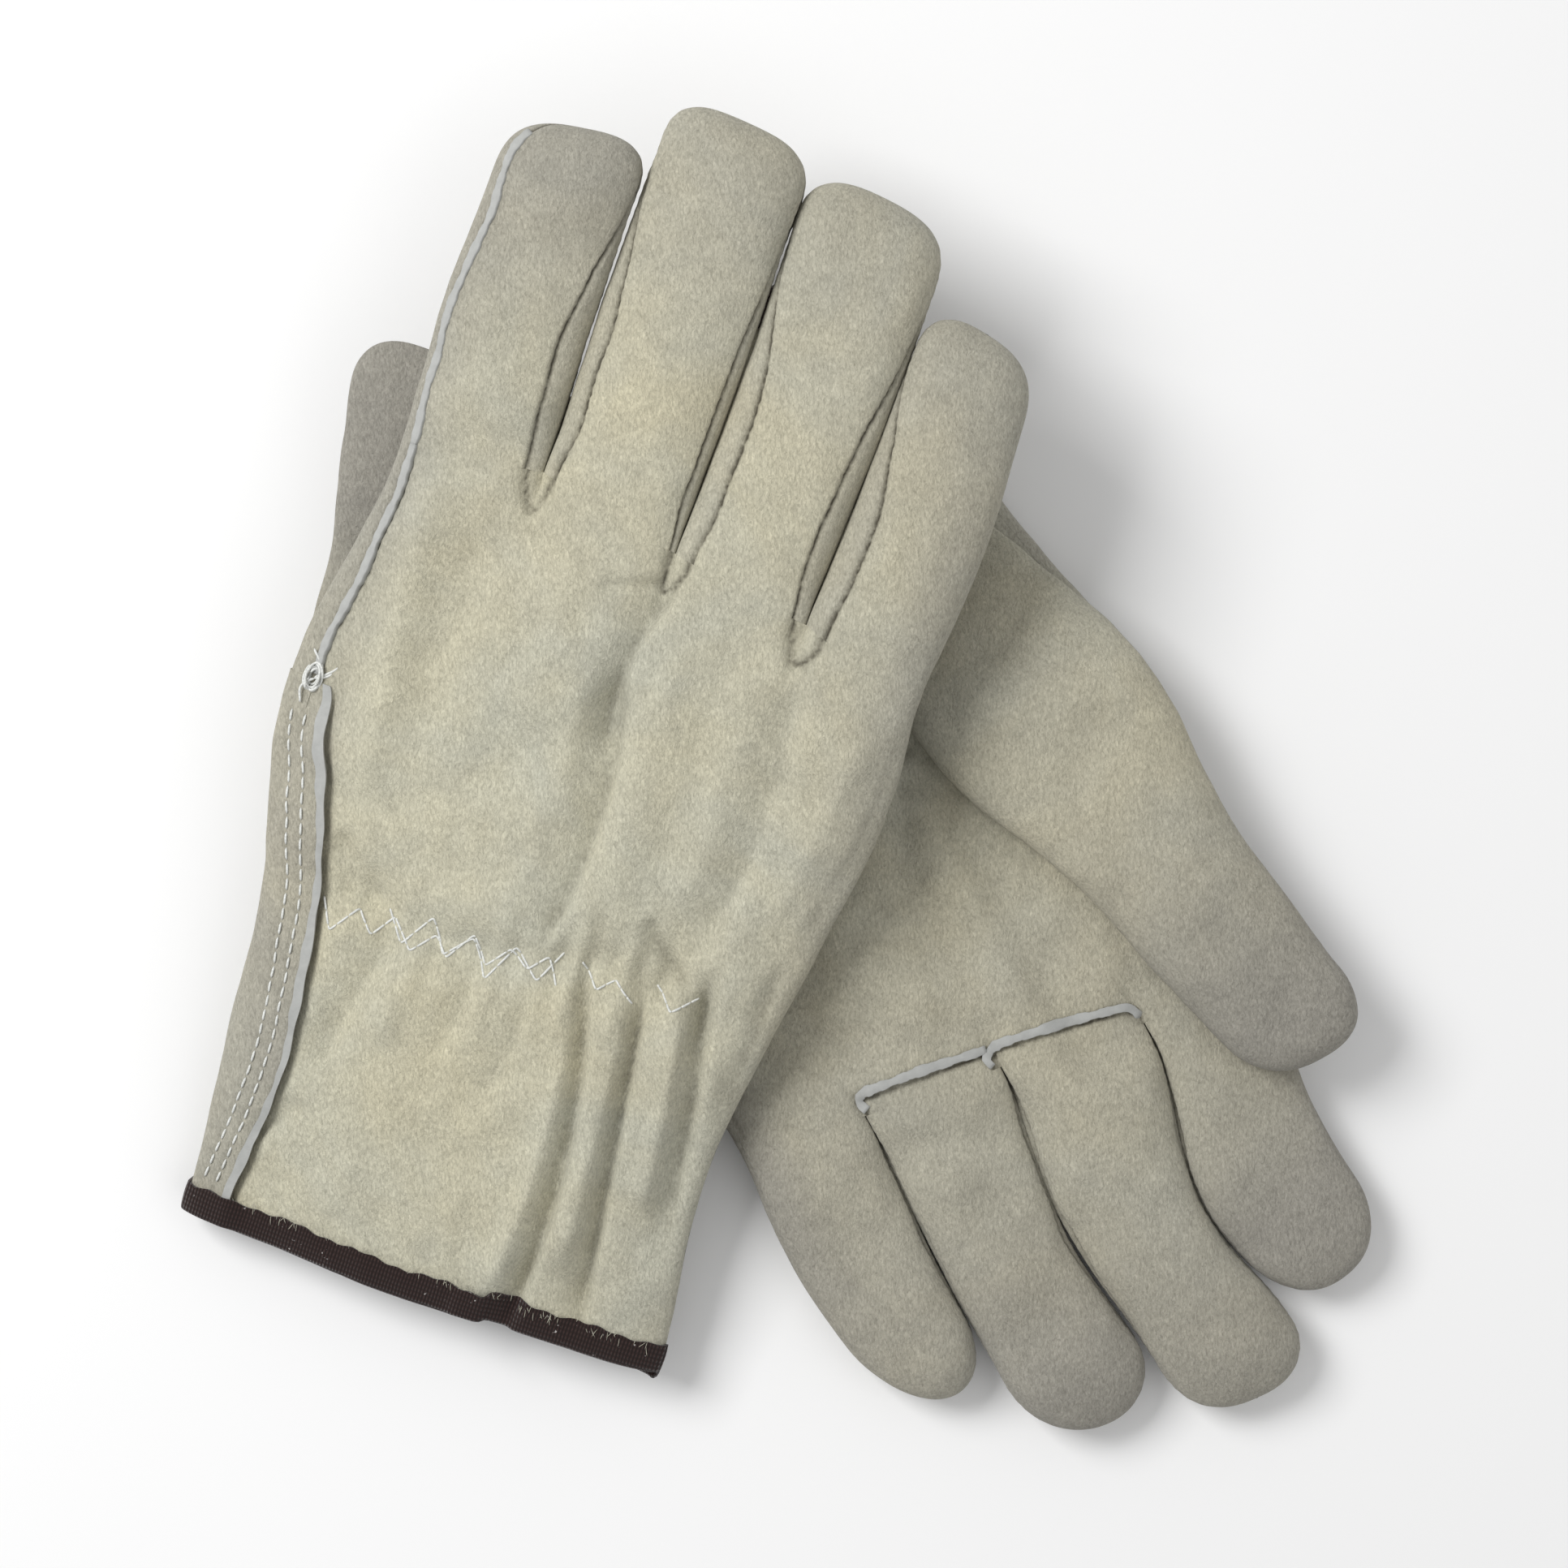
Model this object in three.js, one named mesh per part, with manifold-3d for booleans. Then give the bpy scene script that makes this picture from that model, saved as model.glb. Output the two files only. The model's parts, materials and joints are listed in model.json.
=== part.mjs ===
// A pair of leather driver's work gloves, in millimetres, +Z up: the left glove lies palm up on the ground,
// and the right glove lies palm down across it. Each glove is gunn cut, with a keystone thumb, a shirred wrist
// and a bound cuff. Every leather piece is its own solid, and every stall folds about its root line.
import * as THREE from "three";
import Module from "manifold-3d";
import { mergeVertices } from "three/addons/utils/BufferGeometryUtils.js";

const DEG = Math.PI / 180;

// ---------- driving dimensions ----------
const leather = 1.4; // thickness of the split leather
const seamGap = 0.4; // clearance between two pieces that are sewn together
const fingerGap = 1.2; // space between two stalls at their roots

const handLength = 172; // from the cuff's edge to the middle of the fingers' root line
const cuffWidth = 108;
const wristWidth = 109;
const wristHeight = 80; // from the cuff's edge to the elastic
const backDepth = 7.6; // from the glove's middle plane to the flat of its back
const palmDepth = 7.8; // from the glove's middle plane to its palm
const wristDepth = 5.8; // the same, on the palm's side at the elastic
const cuffDepth = 6.1; // the same, at the bound edge, on both sides

const fourchetteAngle = 28; // half of the part of a stall's section that its fourchette covers, in degrees
const weltAngle = 30; // how far the welted seam lies above the index stall's side, in degrees
const wrapAngle = 25; // how far the back wraps below the little stall's side, in degrees

const stalls = [
  { name: "index", width: 30, tipWidth: 28, length: 74, frontDepth: 5.2, tipDepth: 6.4 },
  { name: "middle", width: 31, tipWidth: 29, length: 88, frontDepth: 7.6, tipDepth: 7.2 },
  { name: "ring", width: 30, tipWidth: 28, length: 87, frontDepth: 7.6, tipDepth: 7.2 },
  { name: "little", width: 28, tipWidth: 26, length: 74, frontDepth: 7.4, tipDepth: 6.8 },
];
const rootRise = [4, 8, 1, -4, -13]; // each root corner, ahead of handLength, from the index side
const tipRound = 15; // length of a stall's rounded end
const tipBluntness = 0.55; // the lower, the squarer a stall's end is from above

const thumb = {
  rootWidth: 46,
  tipWidth: 30,
  length: 104,
  innerDepth: 3, // from the thumb's seam to its inner face
  outerDepth: 7.6, // from the thumb's seam to its outer face
  tipShare: 0.86, // the tip's depth, as a share of the root's
  rootHeight: 99, // from the cuff's edge
  rootInset: 21, // from the hand's thumb side to the root's middle
  heelInset: 28, // the same, at the heel of the gusset
  heelWidth: 36, // of the gusset at its heel
  clearance: 1, // between the folded thumb and the palm
};
const recessDepth = 5; // the palm's depth under the folded thumb
const recessRun = 9; // length of the slope into that recess
const mouthLength = 22; // of the opening in the palm that leads into the thumb
const mouthWidth = 28;

const bindingHeight = 6.5;
const bindingThickness = 0.9;
const elasticWidth = 8;
const elasticThickness = 1;
const elasticLength = 82;
const lapWidth = 12; // the palm's overlap on the back, along the thumb side
const lapSink = 1.2; // how far the back gives way under that overlap
const knotHeight = 121; // from the cuff's edge to the knot that ends the lapped seam
const knotSize = { x: 1.6, y: 2.6, z: 1.4 };
const weltThickness = 1.2;
const weltProud = 1.2; // how far a welt stands out of its seam
const gunnWeltWidth = 2.4;
const gunnWeltSetback = 3; // from the stalls' root line to the gunn seam's welt

// How the two gloves lie. A stall folds about a line across the glove, through its crease on the back (1) or the
// palm (-1). Leans turn a stall sideways and drops let it hang from its crease, in degrees.
const poses = {
  right: {
    side: 1,
    yaw: -19.7,
    pitch: 9.9,
    roll: -3,
    creases: [1, 1, 1, 1],
    leans: [2, 2, 0.5, 0.5],
    drops: [4, 7, 9, 9],
    thumbLean: 12.5,
    thumbOpen: 1.5,
  },
  left: {
    side: -1,
    yaw: -151,
    pitch: 0,
    roll: 0,
    creases: [1, -1, -1, -1],
    leans: [-3, -1.5, -2, -2],
    drops: [0, 0, 0, 0],
    thumbLean: 10.5,
    thumbOpen: 1.5,
  },
};
const leftCuffFromRight = new THREE.Vector2(46, 201); // from one cuff's middle to the other's

const handExponent = 5; // how closely the hand's angles crowd at its sides
const squareness = [[0, 3], [0.3, 3.2], [0.8, 4], [1, 6]]; // of the hand's section, from the cuff to the root line
const stallExponent = 2.6; // how square a stall's section is
const flatShare = 0.96; // share of a section's height above which it is flat
const crotchRise = 0.5; // height of the valley between two stalls, as a share of the hand's depth
const knuckleShare = 0.8; // where along the hand the stalls' ridges begin

const looks = {
  leather: new THREE.MeshStandardMaterial({ color: 0xbdb9a0, roughness: 0.95, metalness: 0 }),
  fourchette: new THREE.MeshStandardMaterial({ color: 0xc4c2aa, roughness: 0.95, metalness: 0 }),
  welt: new THREE.MeshStandardMaterial({ color: 0xb4b6b8, roughness: 0.7, metalness: 0 }),
  binding: new THREE.MeshStandardMaterial({ color: 0x2a1a17, roughness: 0.9, metalness: 0 }),
  elastic: new THREE.MeshStandardMaterial({ color: 0xe2e0d8, roughness: 0.8, metalness: 0 }),
  thread: new THREE.MeshStandardMaterial({ color: 0xdcdcd8, roughness: 0.6, metalness: 0 }),
};

const wasm = await Module();
wasm.setup();

// ---------- small tools ----------
const mix = THREE.MathUtils.lerp;
const rise = (s, n) => Math.pow(Math.max(0, 1 - Math.pow(Math.abs(s), n)), 1 / n);
const flattened = (share) => Math.min(1, share / flatShare);
const signedPower = (value, power) => Math.sign(value) * Math.pow(Math.abs(value), power);

// A list of numbers from a to b in equal steps.
function steps(a, b, count) {
  return Array.from({ length: count + 1 }, (_, i) => mix(a, b, i / count));
}

// A piecewise linear value at x through [x, value] pairs.
function along(pairs, x) {
  const next = Math.max(1, pairs.findIndex(([at]) => at >= x));
  const [[x0, y0], [x1, y1]] = [pairs[next - 1], pairs[next]];
  return mix(y0, y1, THREE.MathUtils.clamp((x - x0) / (x1 - x0), 0, 1));
}

function facingOut(geometry) {
  const position = geometry.getAttribute("position");
  const index = geometry.index.array;
  const [a, b, c] = [0, 1, 2].map(() => new THREE.Vector3());
  let volume = 0;
  for (let i = 0; i < index.length; i += 3) {
    a.fromBufferAttribute(position, index[i]);
    b.fromBufferAttribute(position, index[i + 1]);
    c.fromBufferAttribute(position, index[i + 2]);
    volume += a.dot(b.cross(c));
  }
  if (volume < 0) index.reverse();
  geometry.computeVertexNormals();
  return geometry;
}

// A piece of sheet with its thickness: two faces on one grid, joined by a rim. A closed sheet is a ring in u.
function sheet(outer, inner, us, vs, closed = false) {
  const [columns, rows] = [us.length, vs.length];
  const points = [outer, inner].flatMap((face) => vs.flatMap((v) => us.map((u) => face(u, v))));
  const at = (side, i, j) => side * columns * rows + j * columns + (i % columns);
  const index = [];
  const quad = (a, b, c, d) => index.push(a, b, c, a, c, d);
  const cells = closed ? columns : columns - 1;
  for (let j = 0; j < rows - 1; j++) {
    for (let i = 0; i < cells; i++) {
      quad(at(0, i, j), at(0, i + 1, j), at(0, i + 1, j + 1), at(0, i, j + 1));
      quad(at(1, i, j + 1), at(1, i + 1, j + 1), at(1, i + 1, j), at(1, i, j));
    }
    if (!closed) {
      const last = columns - 1;
      quad(at(0, 0, j), at(0, 0, j + 1), at(1, 0, j + 1), at(1, 0, j));
      quad(at(0, last, j + 1), at(0, last, j), at(1, last, j), at(1, last, j + 1));
    }
  }
  for (let i = 0; i < cells; i++) {
    const last = rows - 1;
    quad(at(0, i + 1, 0), at(0, i, 0), at(1, i, 0), at(1, i + 1, 0));
    quad(at(0, i, last), at(0, i + 1, last), at(1, i + 1, last), at(1, i, last));
  }
  const geometry = new THREE.BufferGeometry().setFromPoints(points);
  geometry.setIndex(index);
  return facingOut(geometry);
}

function toSolid(geometry) {
  const bare = new THREE.BufferGeometry();
  bare.setAttribute("position", geometry.getAttribute("position"));
  bare.setIndex(geometry.index);
  const merged = mergeVertices(bare, 1e-4);
  const mesh = new wasm.Mesh({
    numProp: 3,
    vertProperties: new Float32Array(merged.attributes.position.array),
    triVerts: new Uint32Array(merged.index.array),
  });
  return new wasm.Manifold(mesh);
}

function toGeometry(solid) {
  const mesh = solid.getMesh();
  const geometry = new THREE.BufferGeometry();
  geometry.setAttribute("position", new THREE.BufferAttribute(mesh.vertProperties, mesh.numProp));
  geometry.setIndex(new THREE.BufferAttribute(mesh.triVerts, 1));
  geometry.computeVertexNormals();
  return geometry;
}

// ---------- the root line and the hand's outline ----------
const palmWidth = stalls.reduce((sum, stall) => sum + stall.width, fingerGap * (stalls.length - 1));
const palmHalf = palmWidth / 2;

// The corners of the root line: where each stall starts and ends across the hand.
const corners = [-palmHalf];
for (const stall of stalls.slice(0, -1)) corners.push(corners.at(-1) + stall.width + fingerGap);
corners.push(palmHalf);
const rootCorners = corners.map((x, i) => new THREE.Vector2(x, handLength + rootRise[i]));
const rootPairs = rootCorners.map((corner) => [corner.x, corner.y]);

// Half of the hand's width, from the cuff (v 0) to the root line (v 1).
function handHalf(v) {
  const wrist = wristHeight / handLength;
  return along([[0, cuffWidth / 2], [wrist, wristWidth / 2], [mix(wrist, 1, 0.7), palmHalf], [1, palmHalf]], v);
}

// How much a stall's ridge is worn down at x on the root line: 1 on the ridge, less in a crotch.
function ridgeShare(x) {
  const i = Math.min(stalls.length - 1, Math.max(0, corners.findIndex((corner) => corner > x) - 1));
  const last = x >= corners.at(-1);
  const [low, high] = last ? corners.slice(-2) : [corners[i], corners[i + 1]];
  const s = ((x - low) / (high - low)) * 2 - 1;
  const outerHalf = (low === corners[0] && s < 0) || (high === corners.at(-1) && s > 0);
  return outerHalf ? 1 : mix(crotchRise, 1, flattened(rise(s, stallExponent)));
}

// How far the palm is pressed in under the folded thumb, from 0 to 1.
function thumbPress(x, y) {
  const right = -palmHalf + thumb.rootInset + thumb.rootWidth / 2;
  const across = 1 - THREE.MathUtils.smoothstep(x, right, right + recessRun);
  const ahead = THREE.MathUtils.smoothstep(y, thumb.rootHeight - recessRun - 2, thumb.rootHeight - 2);
  return across * ahead;
}

// How far the back gives way at (x, y) under the palm's overlap.
function lapPress(x, y) {
  const edge = lapWidth - palmHalf;
  const near = 1 - THREE.MathUtils.smoothstep(x, edge, edge + lapWidth);
  return lapSink * near * (1 - THREE.MathUtils.smoothstep(y, knotHeight, knotHeight + lapWidth));
}

// A point of the hand's skin. t is the angle round the section, in degrees: 0 is the little finger's side, 90 the
// back and 180 the thumb's side. v runs from the cuff to the root line. inset is the depth under the skin.
function handPoint(t, v, inset = 0) {
  const power = 2 / handExponent;
  const [c, s] = [Math.cos(t * DEG), Math.sin(t * DEG)];
  const share = signedPower(c, power);
  const [x, y] = [share * (handHalf(v) - inset), v * along(rootPairs, share * palmHalf)];
  const ridges = mix(1, ridgeShare(share * palmHalf), THREE.MathUtils.smoothstep(v, knuckleShare, 1));
  const bound = THREE.MathUtils.smoothstep(y, bindingHeight + seamGap, bindingHeight * 3);
  const palm = mix(wristDepth, palmDepth, THREE.MathUtils.smoothstep(y, wristHeight, wristHeight + 45));
  const full = s > 0 ? backDepth - lapPress(x, y) : mix(palm, recessDepth, thumbPress(x, y));
  const depth = (mix(cuffDepth, full, bound) - inset) * ridges;
  return new THREE.Vector3(x, y, Math.sign(s) * depth * flattened(rise(share, along(squareness, v))));
}

// The angle at which the hand's section crosses x, on the back or, with a negative side, on the palm.
function handAngle(x, side = 1) {
  const share = THREE.MathUtils.clamp(x / palmHalf, -1, 1);
  return (side * Math.acos(signedPower(share, handExponent / 2))) / DEG;
}

// ---------- hand pieces ----------
const handRows = [0, 0.045, 0.12, 0.25, 0.4, 0.47, 0.52, 0.57, 0.68, 0.8, 0.87, 0.94, 1];
const handEnd = 1 - (2 * seamGap) / handLength; // the hand stops this short of the root line
const backThumbEdge = 165; // angles on the hand's section where the back piece stops
const weltSlot = (weltThickness / 2 + seamGap) / (backDepth * DEG); // half of the welted seam's opening, in degrees
const sideGap = seamGap / 2 / (backDepth * DEG); // half of a plain seam's opening on the hand's side, in degrees

// Angles across the hand between two given ends, through the stalls' edges and ridges.
function across(first, last, side) {
  const cells = 4;
  const xs = stalls.flatMap((stall, i) => steps(corners[i], corners[i + 1], cells).slice(1));
  const ridges = xs.filter((x) => Math.abs(x) < palmHalf * 0.93).map((x) => handAngle(x, side));
  const turned = ridges.map((t) => (side < 0 ? t + 360 : t));
  const edges = [-20, -10, 0, 10, 20, 30, 150, 160, 170, 180, 190, 200, 210, 330, 340, 350];
  const kept = [...turned, ...edges].filter((t) => t > first + 3 && t < last - 3);
  return [first, ...kept.sort((a, b) => a - b), last];
}

function handSheet(ts, vs) {
  return sheet(
    (t, v) => handPoint(t, v),
    (t, v) => handPoint(t, v, leather),
    ts,
    vs,
  );
}

function backPanel() {
  const rows = handRows.map((v) => v * handEnd);
  return handSheet(across(-wrapAngle + sideGap, backThumbEdge - weltSlot, 1), rows);
}

// The palm goes round the thumb's side and, below the knot, laps over the back.
function palmPanel() {
  const rows = handRows.map((v) => v * handEnd);
  const ts = across(backThumbEdge + weltSlot, 360 - wrapAngle - sideGap, -1);
  const palm = toSolid(handSheet(ts, rows));
  return toGeometry(palm.add(lap()).subtract(thumbMouth()));
}

function lap() {
  const lift = (t) => (leather + seamGap) * (1 - THREE.MathUtils.smoothstep(t, 168, 178));
  const edge = handAngle(-palmHalf + lapWidth);
  const low = (bindingHeight + seamGap) / handLength;
  const high = (knotHeight - knotSize.y - seamGap) / (handLength + rootRise[0]);
  return toSolid(
    sheet(
      (t, v) => handPoint(t, v, -lift(t)),
      (t, v) => handPoint(t, v, leather - lift(t)),
      [178, 174, 170, 164, 155, mix(155, edge, 0.5), edge],
      steps(low, high, 7),
    ),
  );
}

// The prism that opens the palm into the thumb's gusset.
function thumbMouth() {
  const half = mouthWidth / 2;
  const middle = -palmHalf + thumb.heelInset;
  const corner = 6;
  const top = thumb.rootHeight - seamGap;
  const outline = new THREE.Shape()
    .moveTo(middle - half, top)
    .lineTo(middle - half, top - mouthLength + corner)
    .quadraticCurveTo(middle - half, top - mouthLength, middle - half + corner, top - mouthLength)
    .lineTo(middle + half - corner, top - mouthLength)
    .quadraticCurveTo(middle + half, top - mouthLength, middle + half, top - mouthLength + corner)
    .lineTo(middle + half, top)
    .closePath();
  const prism = new THREE.ExtrudeGeometry(outline, { depth: palmDepth, bevelEnabled: false, curveSegments: 3 });
  prism.translate(0, 0, -palmDepth - 1);
  prism.deleteAttribute("normal");
  prism.deleteAttribute("uv");
  return toSolid(facingOut(mergeVertices(prism)));
}

// The tape that binds the cuff: a ring, folded over both faces of the leather.
function binding() {
  const angles = steps(0, 360, 36).slice(0, -1);
  const room = seamGap + bindingThickness;
  const inside = leather + room;
  // The fold's outline, as insets under the skin and heights above the edge.
  const outerFace = [[-room, bindingHeight], [-room, -seamGap], [leather / 2, -room], [inside, -seamGap], [inside, bindingHeight]];
  const clear = leather + seamGap;
  const innerFace = [[-seamGap, bindingHeight], [-seamGap, -seamGap / 2], [leather / 2, -seamGap], [clear, -seamGap / 2], [clear, bindingHeight]];
  const point = (profile) => (t, k) => {
    const [inset, height] = profile[k];
    return handPoint(t, Math.max(0, height) / handLength, inset).setY(height);
  };
  return sheet(point(outerFace), point(innerFace), angles, [0, 1, 2, 3, 4], true);
}

function elastic() {
  const [low, high] = [handAngle(elasticLength / 2), handAngle(-elasticLength / 2)];
  const rows = steps(wristHeight - elasticWidth / 2, wristHeight + elasticWidth / 2, 2);
  const point = (inset) => (t, y) => handPoint(t, y / handLength, inset).setY(y);
  const under = leather + seamGap;
  return sheet(point(under), point(under + elasticThickness), steps(low, high, 10), rows);
}

// The welt in the seam along the hand's thumb side, from the knot to the index stall.
function sideWelt() {
  const half = weltThickness / 2 / (backDepth * DEG);
  const low = (knotHeight + knotSize.y + seamGap) / (handLength + rootRise[0]);
  const point = (turn) => (inset, v) => handPoint(backThumbEdge + turn, v, inset);
  return sheet(point(-half), point(half), [-weltProud, leather / 2, leather], steps(low, handEnd, 5));
}

// The welt of the gunn seam, across the roots of the middle and ring stalls on the palm.
function gunnWelt() {
  const ts = [...steps(corners[1] + 2, corners[2], 4), ...steps(corners[2], corners[3] - 2, 4).slice(1)];
  const point = (inset) => (x, back) => {
    const y = along(rootPairs, x);
    return handPoint(handAngle(x, -1), (y - back) / y, inset);
  };
  const rows = [gunnWeltSetback, gunnWeltSetback + gunnWeltWidth];
  return sheet(point(-seamGap - leather), point(-seamGap), ts, rows);
}

function knot() {
  const ball = new THREE.SphereGeometry(1, 10, 8);
  ball.deleteAttribute("normal");
  ball.deleteAttribute("uv");
  const merged = mergeVertices(ball);
  merged.scale(knotSize.x, knotSize.y, knotSize.z);
  const seat = handPoint(backThumbEdge, knotHeight / (handLength + rootRise[0]), -(knotSize.z + seamGap));
  merged.translate(seat.x, seat.y, seat.z);
  return facingOut(merged);
}

// The keystone gusset: a scoop over the palm's opening that grows into the thumb's root.
function thumbGusset() {
  const low = thumb.rootHeight - mouthLength - leather * 3;
  const high = thumb.rootHeight - seamGap * 2;
  const depthAhead = thumbSeamDepth() + thumb.outerDepth;
  const point = (inset) => (s, v) => {
    const y = mix(low, high, v);
    const half = mix(thumb.heelWidth, thumb.rootWidth, v) / 2 - inset;
    const x = -palmHalf + mix(thumb.heelInset, thumb.rootInset, v) + half * Math.sin((s * Math.PI) / 2);
    const seat = mix(wristDepth, recessDepth, thumbPress(x, y)) + seamGap * 2;
    const deep = mix(leather * 2, depthAhead - seat, THREE.MathUtils.smoothstep(v, 0, 0.9)) - inset;
    return new THREE.Vector3(x, y, -(seat + deep * flattened(rise(Math.sin((s * Math.PI) / 2), stallExponent))));
  };
  return sheet(point(0), point(leather), steps(-1, 1, 12), steps(0, 1, 5));
}

// ---------- stalls ----------
const stallRows = [0, 0.12, 0.3, 0.48, 0.62, 0.74, 0.84, 0.93, 1];
const straightShare = 0.62; // share of the rows on the straight part of a stall
const tipTurn = 80; // how far round its end a stall is closed, in degrees

// The depth of the thumb's seam under the palm's middle plane, at its root.
function thumbSeamDepth() {
  return recessDepth + thumb.clearance + thumb.innerDepth;
}

// A point of a stall's skin, in its own frame: x along its root line and y towards its tip.
function stallPoint(stall, t, row, inset = 0) {
  const straight = stall.length - tipRound;
  const turn = Math.max(0, (row - straightShare) / (1 - straightShare)) * tipTurn * DEG;
  const reach = Math.min(1, row / straightShare) * straight + (tipRound - inset) * Math.sin(turn);
  const near = reach / stall.length;
  const close = Math.pow(Math.cos(turn), 0.85);
  const narrow = Math.pow(Math.cos(turn), tipBluntness);
  const power = 2 / stallExponent;
  const [c, s] = [signedPower(Math.cos(t * DEG), power), Math.pow(Math.abs(Math.sin(t * DEG)), power)];
  const half = mix(stall.width, stall.tipWidth, near) / 2 - inset;
  const root = Math.sin(t * DEG) > 0 ? stall.backDepth : stall.frontDepth;
  const tip = Math.sin(t * DEG) > 0 ? stall.tipBack : stall.tipDepth;
  const z = Math.sign(Math.sin(t * DEG)) * (mix(root, tip, near) - inset) * close * flattened(s);
  const x = half * narrow * c;
  const slant = Math.abs(stall.creaseDepth - z * stall.side) * Math.tan(stall.drop * DEG);
  const y = reach + slant * Math.max(0, 1 - near * 3);
  return new THREE.Vector3(x + y * Math.tan(stall.skew * DEG), y, z);
}

function stallSheet(stall, angles, rows = stallRows) {
  const point = (inset) => (u, row) => stallPoint(stall, mix(...angles(row), u), row, inset);
  return sheet(point(0), point(leather), steps(0, 1, stall.cells ?? 5), rows);
}

// The half angle of a fourchette's strip, which runs out at the tip.
const fourchetteHalf = (row) => fourchetteAngle * (1 - THREE.MathUtils.smoothstep(row, 0.45, 0.95));

// The pieces of one finger stall: [name, look, geometry].
function fingerPieces(stall, isIndex, isLittle) {
  const gap = seamGap / 2 / ((stall.width / 2) * DEG);
  const slot = (weltThickness / 2 + seamGap) / ((stall.width / 2) * DEG);
  const backLow = (row) => (isLittle ? -wrapAngle + gap : fourchetteHalf(row) + gap);
  const backHigh = (row) => (isIndex ? 180 - weltAngle - slot : 180 - fourchetteHalf(row) - gap);
  const frontLow = (row) => (isIndex ? 180 - weltAngle + slot : 180 + fourchetteHalf(row) + gap);
  const frontHigh = (row) => (isLittle ? 360 - wrapAngle - gap : 360 - fourchetteHalf(row) - gap);
  const pieces = [
    ["back", looks.leather, stallSheet(stall, (row) => [backLow(row), backHigh(row)])],
    ["front", looks.leather, stallSheet({ ...stall, cells: isIndex ? 7 : 5 }, (row) => [frontLow(row), frontHigh(row)])],
  ];
  const fourchette = (middle) =>
    stallSheet(
      { ...stall, cells: 2 },
      (row) => [middle - fourchetteHalf(row) + gap, middle + fourchetteHalf(row) - gap],
      stallRows.filter((row) => row < 0.85),
    );
  if (!isLittle) pieces.push(["fourchette_outer", looks.fourchette, fourchette(0)]);
  if (!isIndex) pieces.push(["fourchette_inner", looks.fourchette, fourchette(180)]);
  if (isIndex) pieces.push(["welt", looks.welt, stallWelt(stall)]);
  return pieces;
}

function stallWelt(stall) {
  const half = weltThickness / 2 / ((stall.width / 2) * DEG);
  const point = (turn) => (inset, row) => stallPoint(stall, 180 - weltAngle + turn, row, inset);
  const rows = stallRows.filter((row) => row < 0.95);
  return sheet(point(-half), point(half), [-weltProud, leather / 2, leather], rows);
}

function thumbPieces(stall) {
  const gap = seamGap / 2 / (stall.frontDepth * DEG);
  return [
    ["inner", looks.leather, stallSheet(stall, () => [gap, 180 - gap])],
    ["outer", looks.leather, stallSheet({ ...stall, cells: 8 }, () => [180 + gap, 360 - gap])],
  ];
}

// ---------- assembly ----------
function addPieces(group, prefix, pieces) {
  for (const [name, look, geometry] of pieces) {
    const mesh = new THREE.Mesh(geometry, look);
    mesh.name = `${prefix}_${name}`;
    group.add(mesh);
  }
}

// Moves pieces modelled from a stall's root so that the group's origin is on the line that the stall folds about.
function hangFrom(group, creaseZ, pieces, prefix) {
  pieces.forEach(([, , geometry]) => geometry.translate(0, 0, -creaseZ));
  addPieces(group, prefix, pieces);
}

function fingerGroup(stall, i, pose, hand) {
  const [from, to] = [rootCorners[i], rootCorners[i + 1]];
  const [left, right] = [from.x + (i ? fingerGap / 2 : 0), to.x - (i < stalls.length - 1 ? fingerGap / 2 : 0)];
  const heading = Math.atan2(to.y - from.y, to.x - from.x) / DEG;
  const crease = pose.creases[i];
  const creaseDepth = crease > 0 ? backDepth : stall.frontDepth;
  const made = {
    ...stall,
    width: (right - left) / Math.cos(heading * DEG),
    backDepth,
    tipBack: backDepth,
    skew: heading - pose.leans[i],
    side: crease,
    drop: pose.drops[i],
    creaseDepth,
  };
  const group = new THREE.Group();
  const x = (left + right) / 2;
  group.position.set(x, along(rootPairs, x), crease * creaseDepth);
  group.rotation.set(-crease * pose.drops[i] * DEG, 0, heading * DEG);
  group.name = `${stall.name}_fold`;
  const pieces = fingerPieces(made, i === 0, i === stalls.length - 1);
  hangFrom(group, crease * creaseDepth, pieces, `${hand}_${stall.name}`);
  return group;
}

function thumbGroup(pose, hand) {
  const outer = -(thumbSeamDepth() + thumb.outerDepth);
  const made = {
    width: thumb.rootWidth,
    tipWidth: thumb.tipWidth,
    length: thumb.length,
    backDepth: thumb.innerDepth,
    tipBack: thumb.innerDepth,
    frontDepth: thumb.outerDepth,
    tipDepth: thumb.outerDepth * thumb.tipShare,
    skew: -pose.thumbLean,
    side: -1,
    drop: -pose.thumbOpen,
    creaseDepth: thumb.outerDepth,
  };
  const group = new THREE.Group();
  group.position.set(-palmHalf + thumb.rootInset, thumb.rootHeight, outer);
  group.rotation.x = -pose.thumbOpen * DEG;
  group.name = "thumb_fold";
  hangFrom(group, -thumb.outerDepth, thumbPieces(made), `${hand}_thumb`);
  return group;
}

function glove(hand) {
  const pose = poses[hand];
  const group = new THREE.Group();
  group.name = `${hand}_hand`;
  addPieces(group, hand, [
    ["back_panel", looks.leather, backPanel()],
    ["palm_panel", looks.leather, palmPanel()],
    ["thumb_gusset", looks.leather, thumbGusset()],
    ["side_welt", looks.welt, sideWelt()],
    ["gunn_welt", looks.welt, gunnWelt()],
    ["wrist_elastic", looks.elastic, elastic()],
    ["cuff_binding", looks.binding, binding()],
    ["seam_knot", looks.thread, knot()],
  ]);
  stalls.forEach((stall, i) => group.add(fingerGroup(stall, i, pose, hand)));
  group.add(thumbGroup(pose, hand));
  group.rotation.order = "ZYX";
  group.rotation.set(pose.pitch * DEG, pose.roll * DEG, pose.yaw * DEG);
  return group;
}

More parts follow.
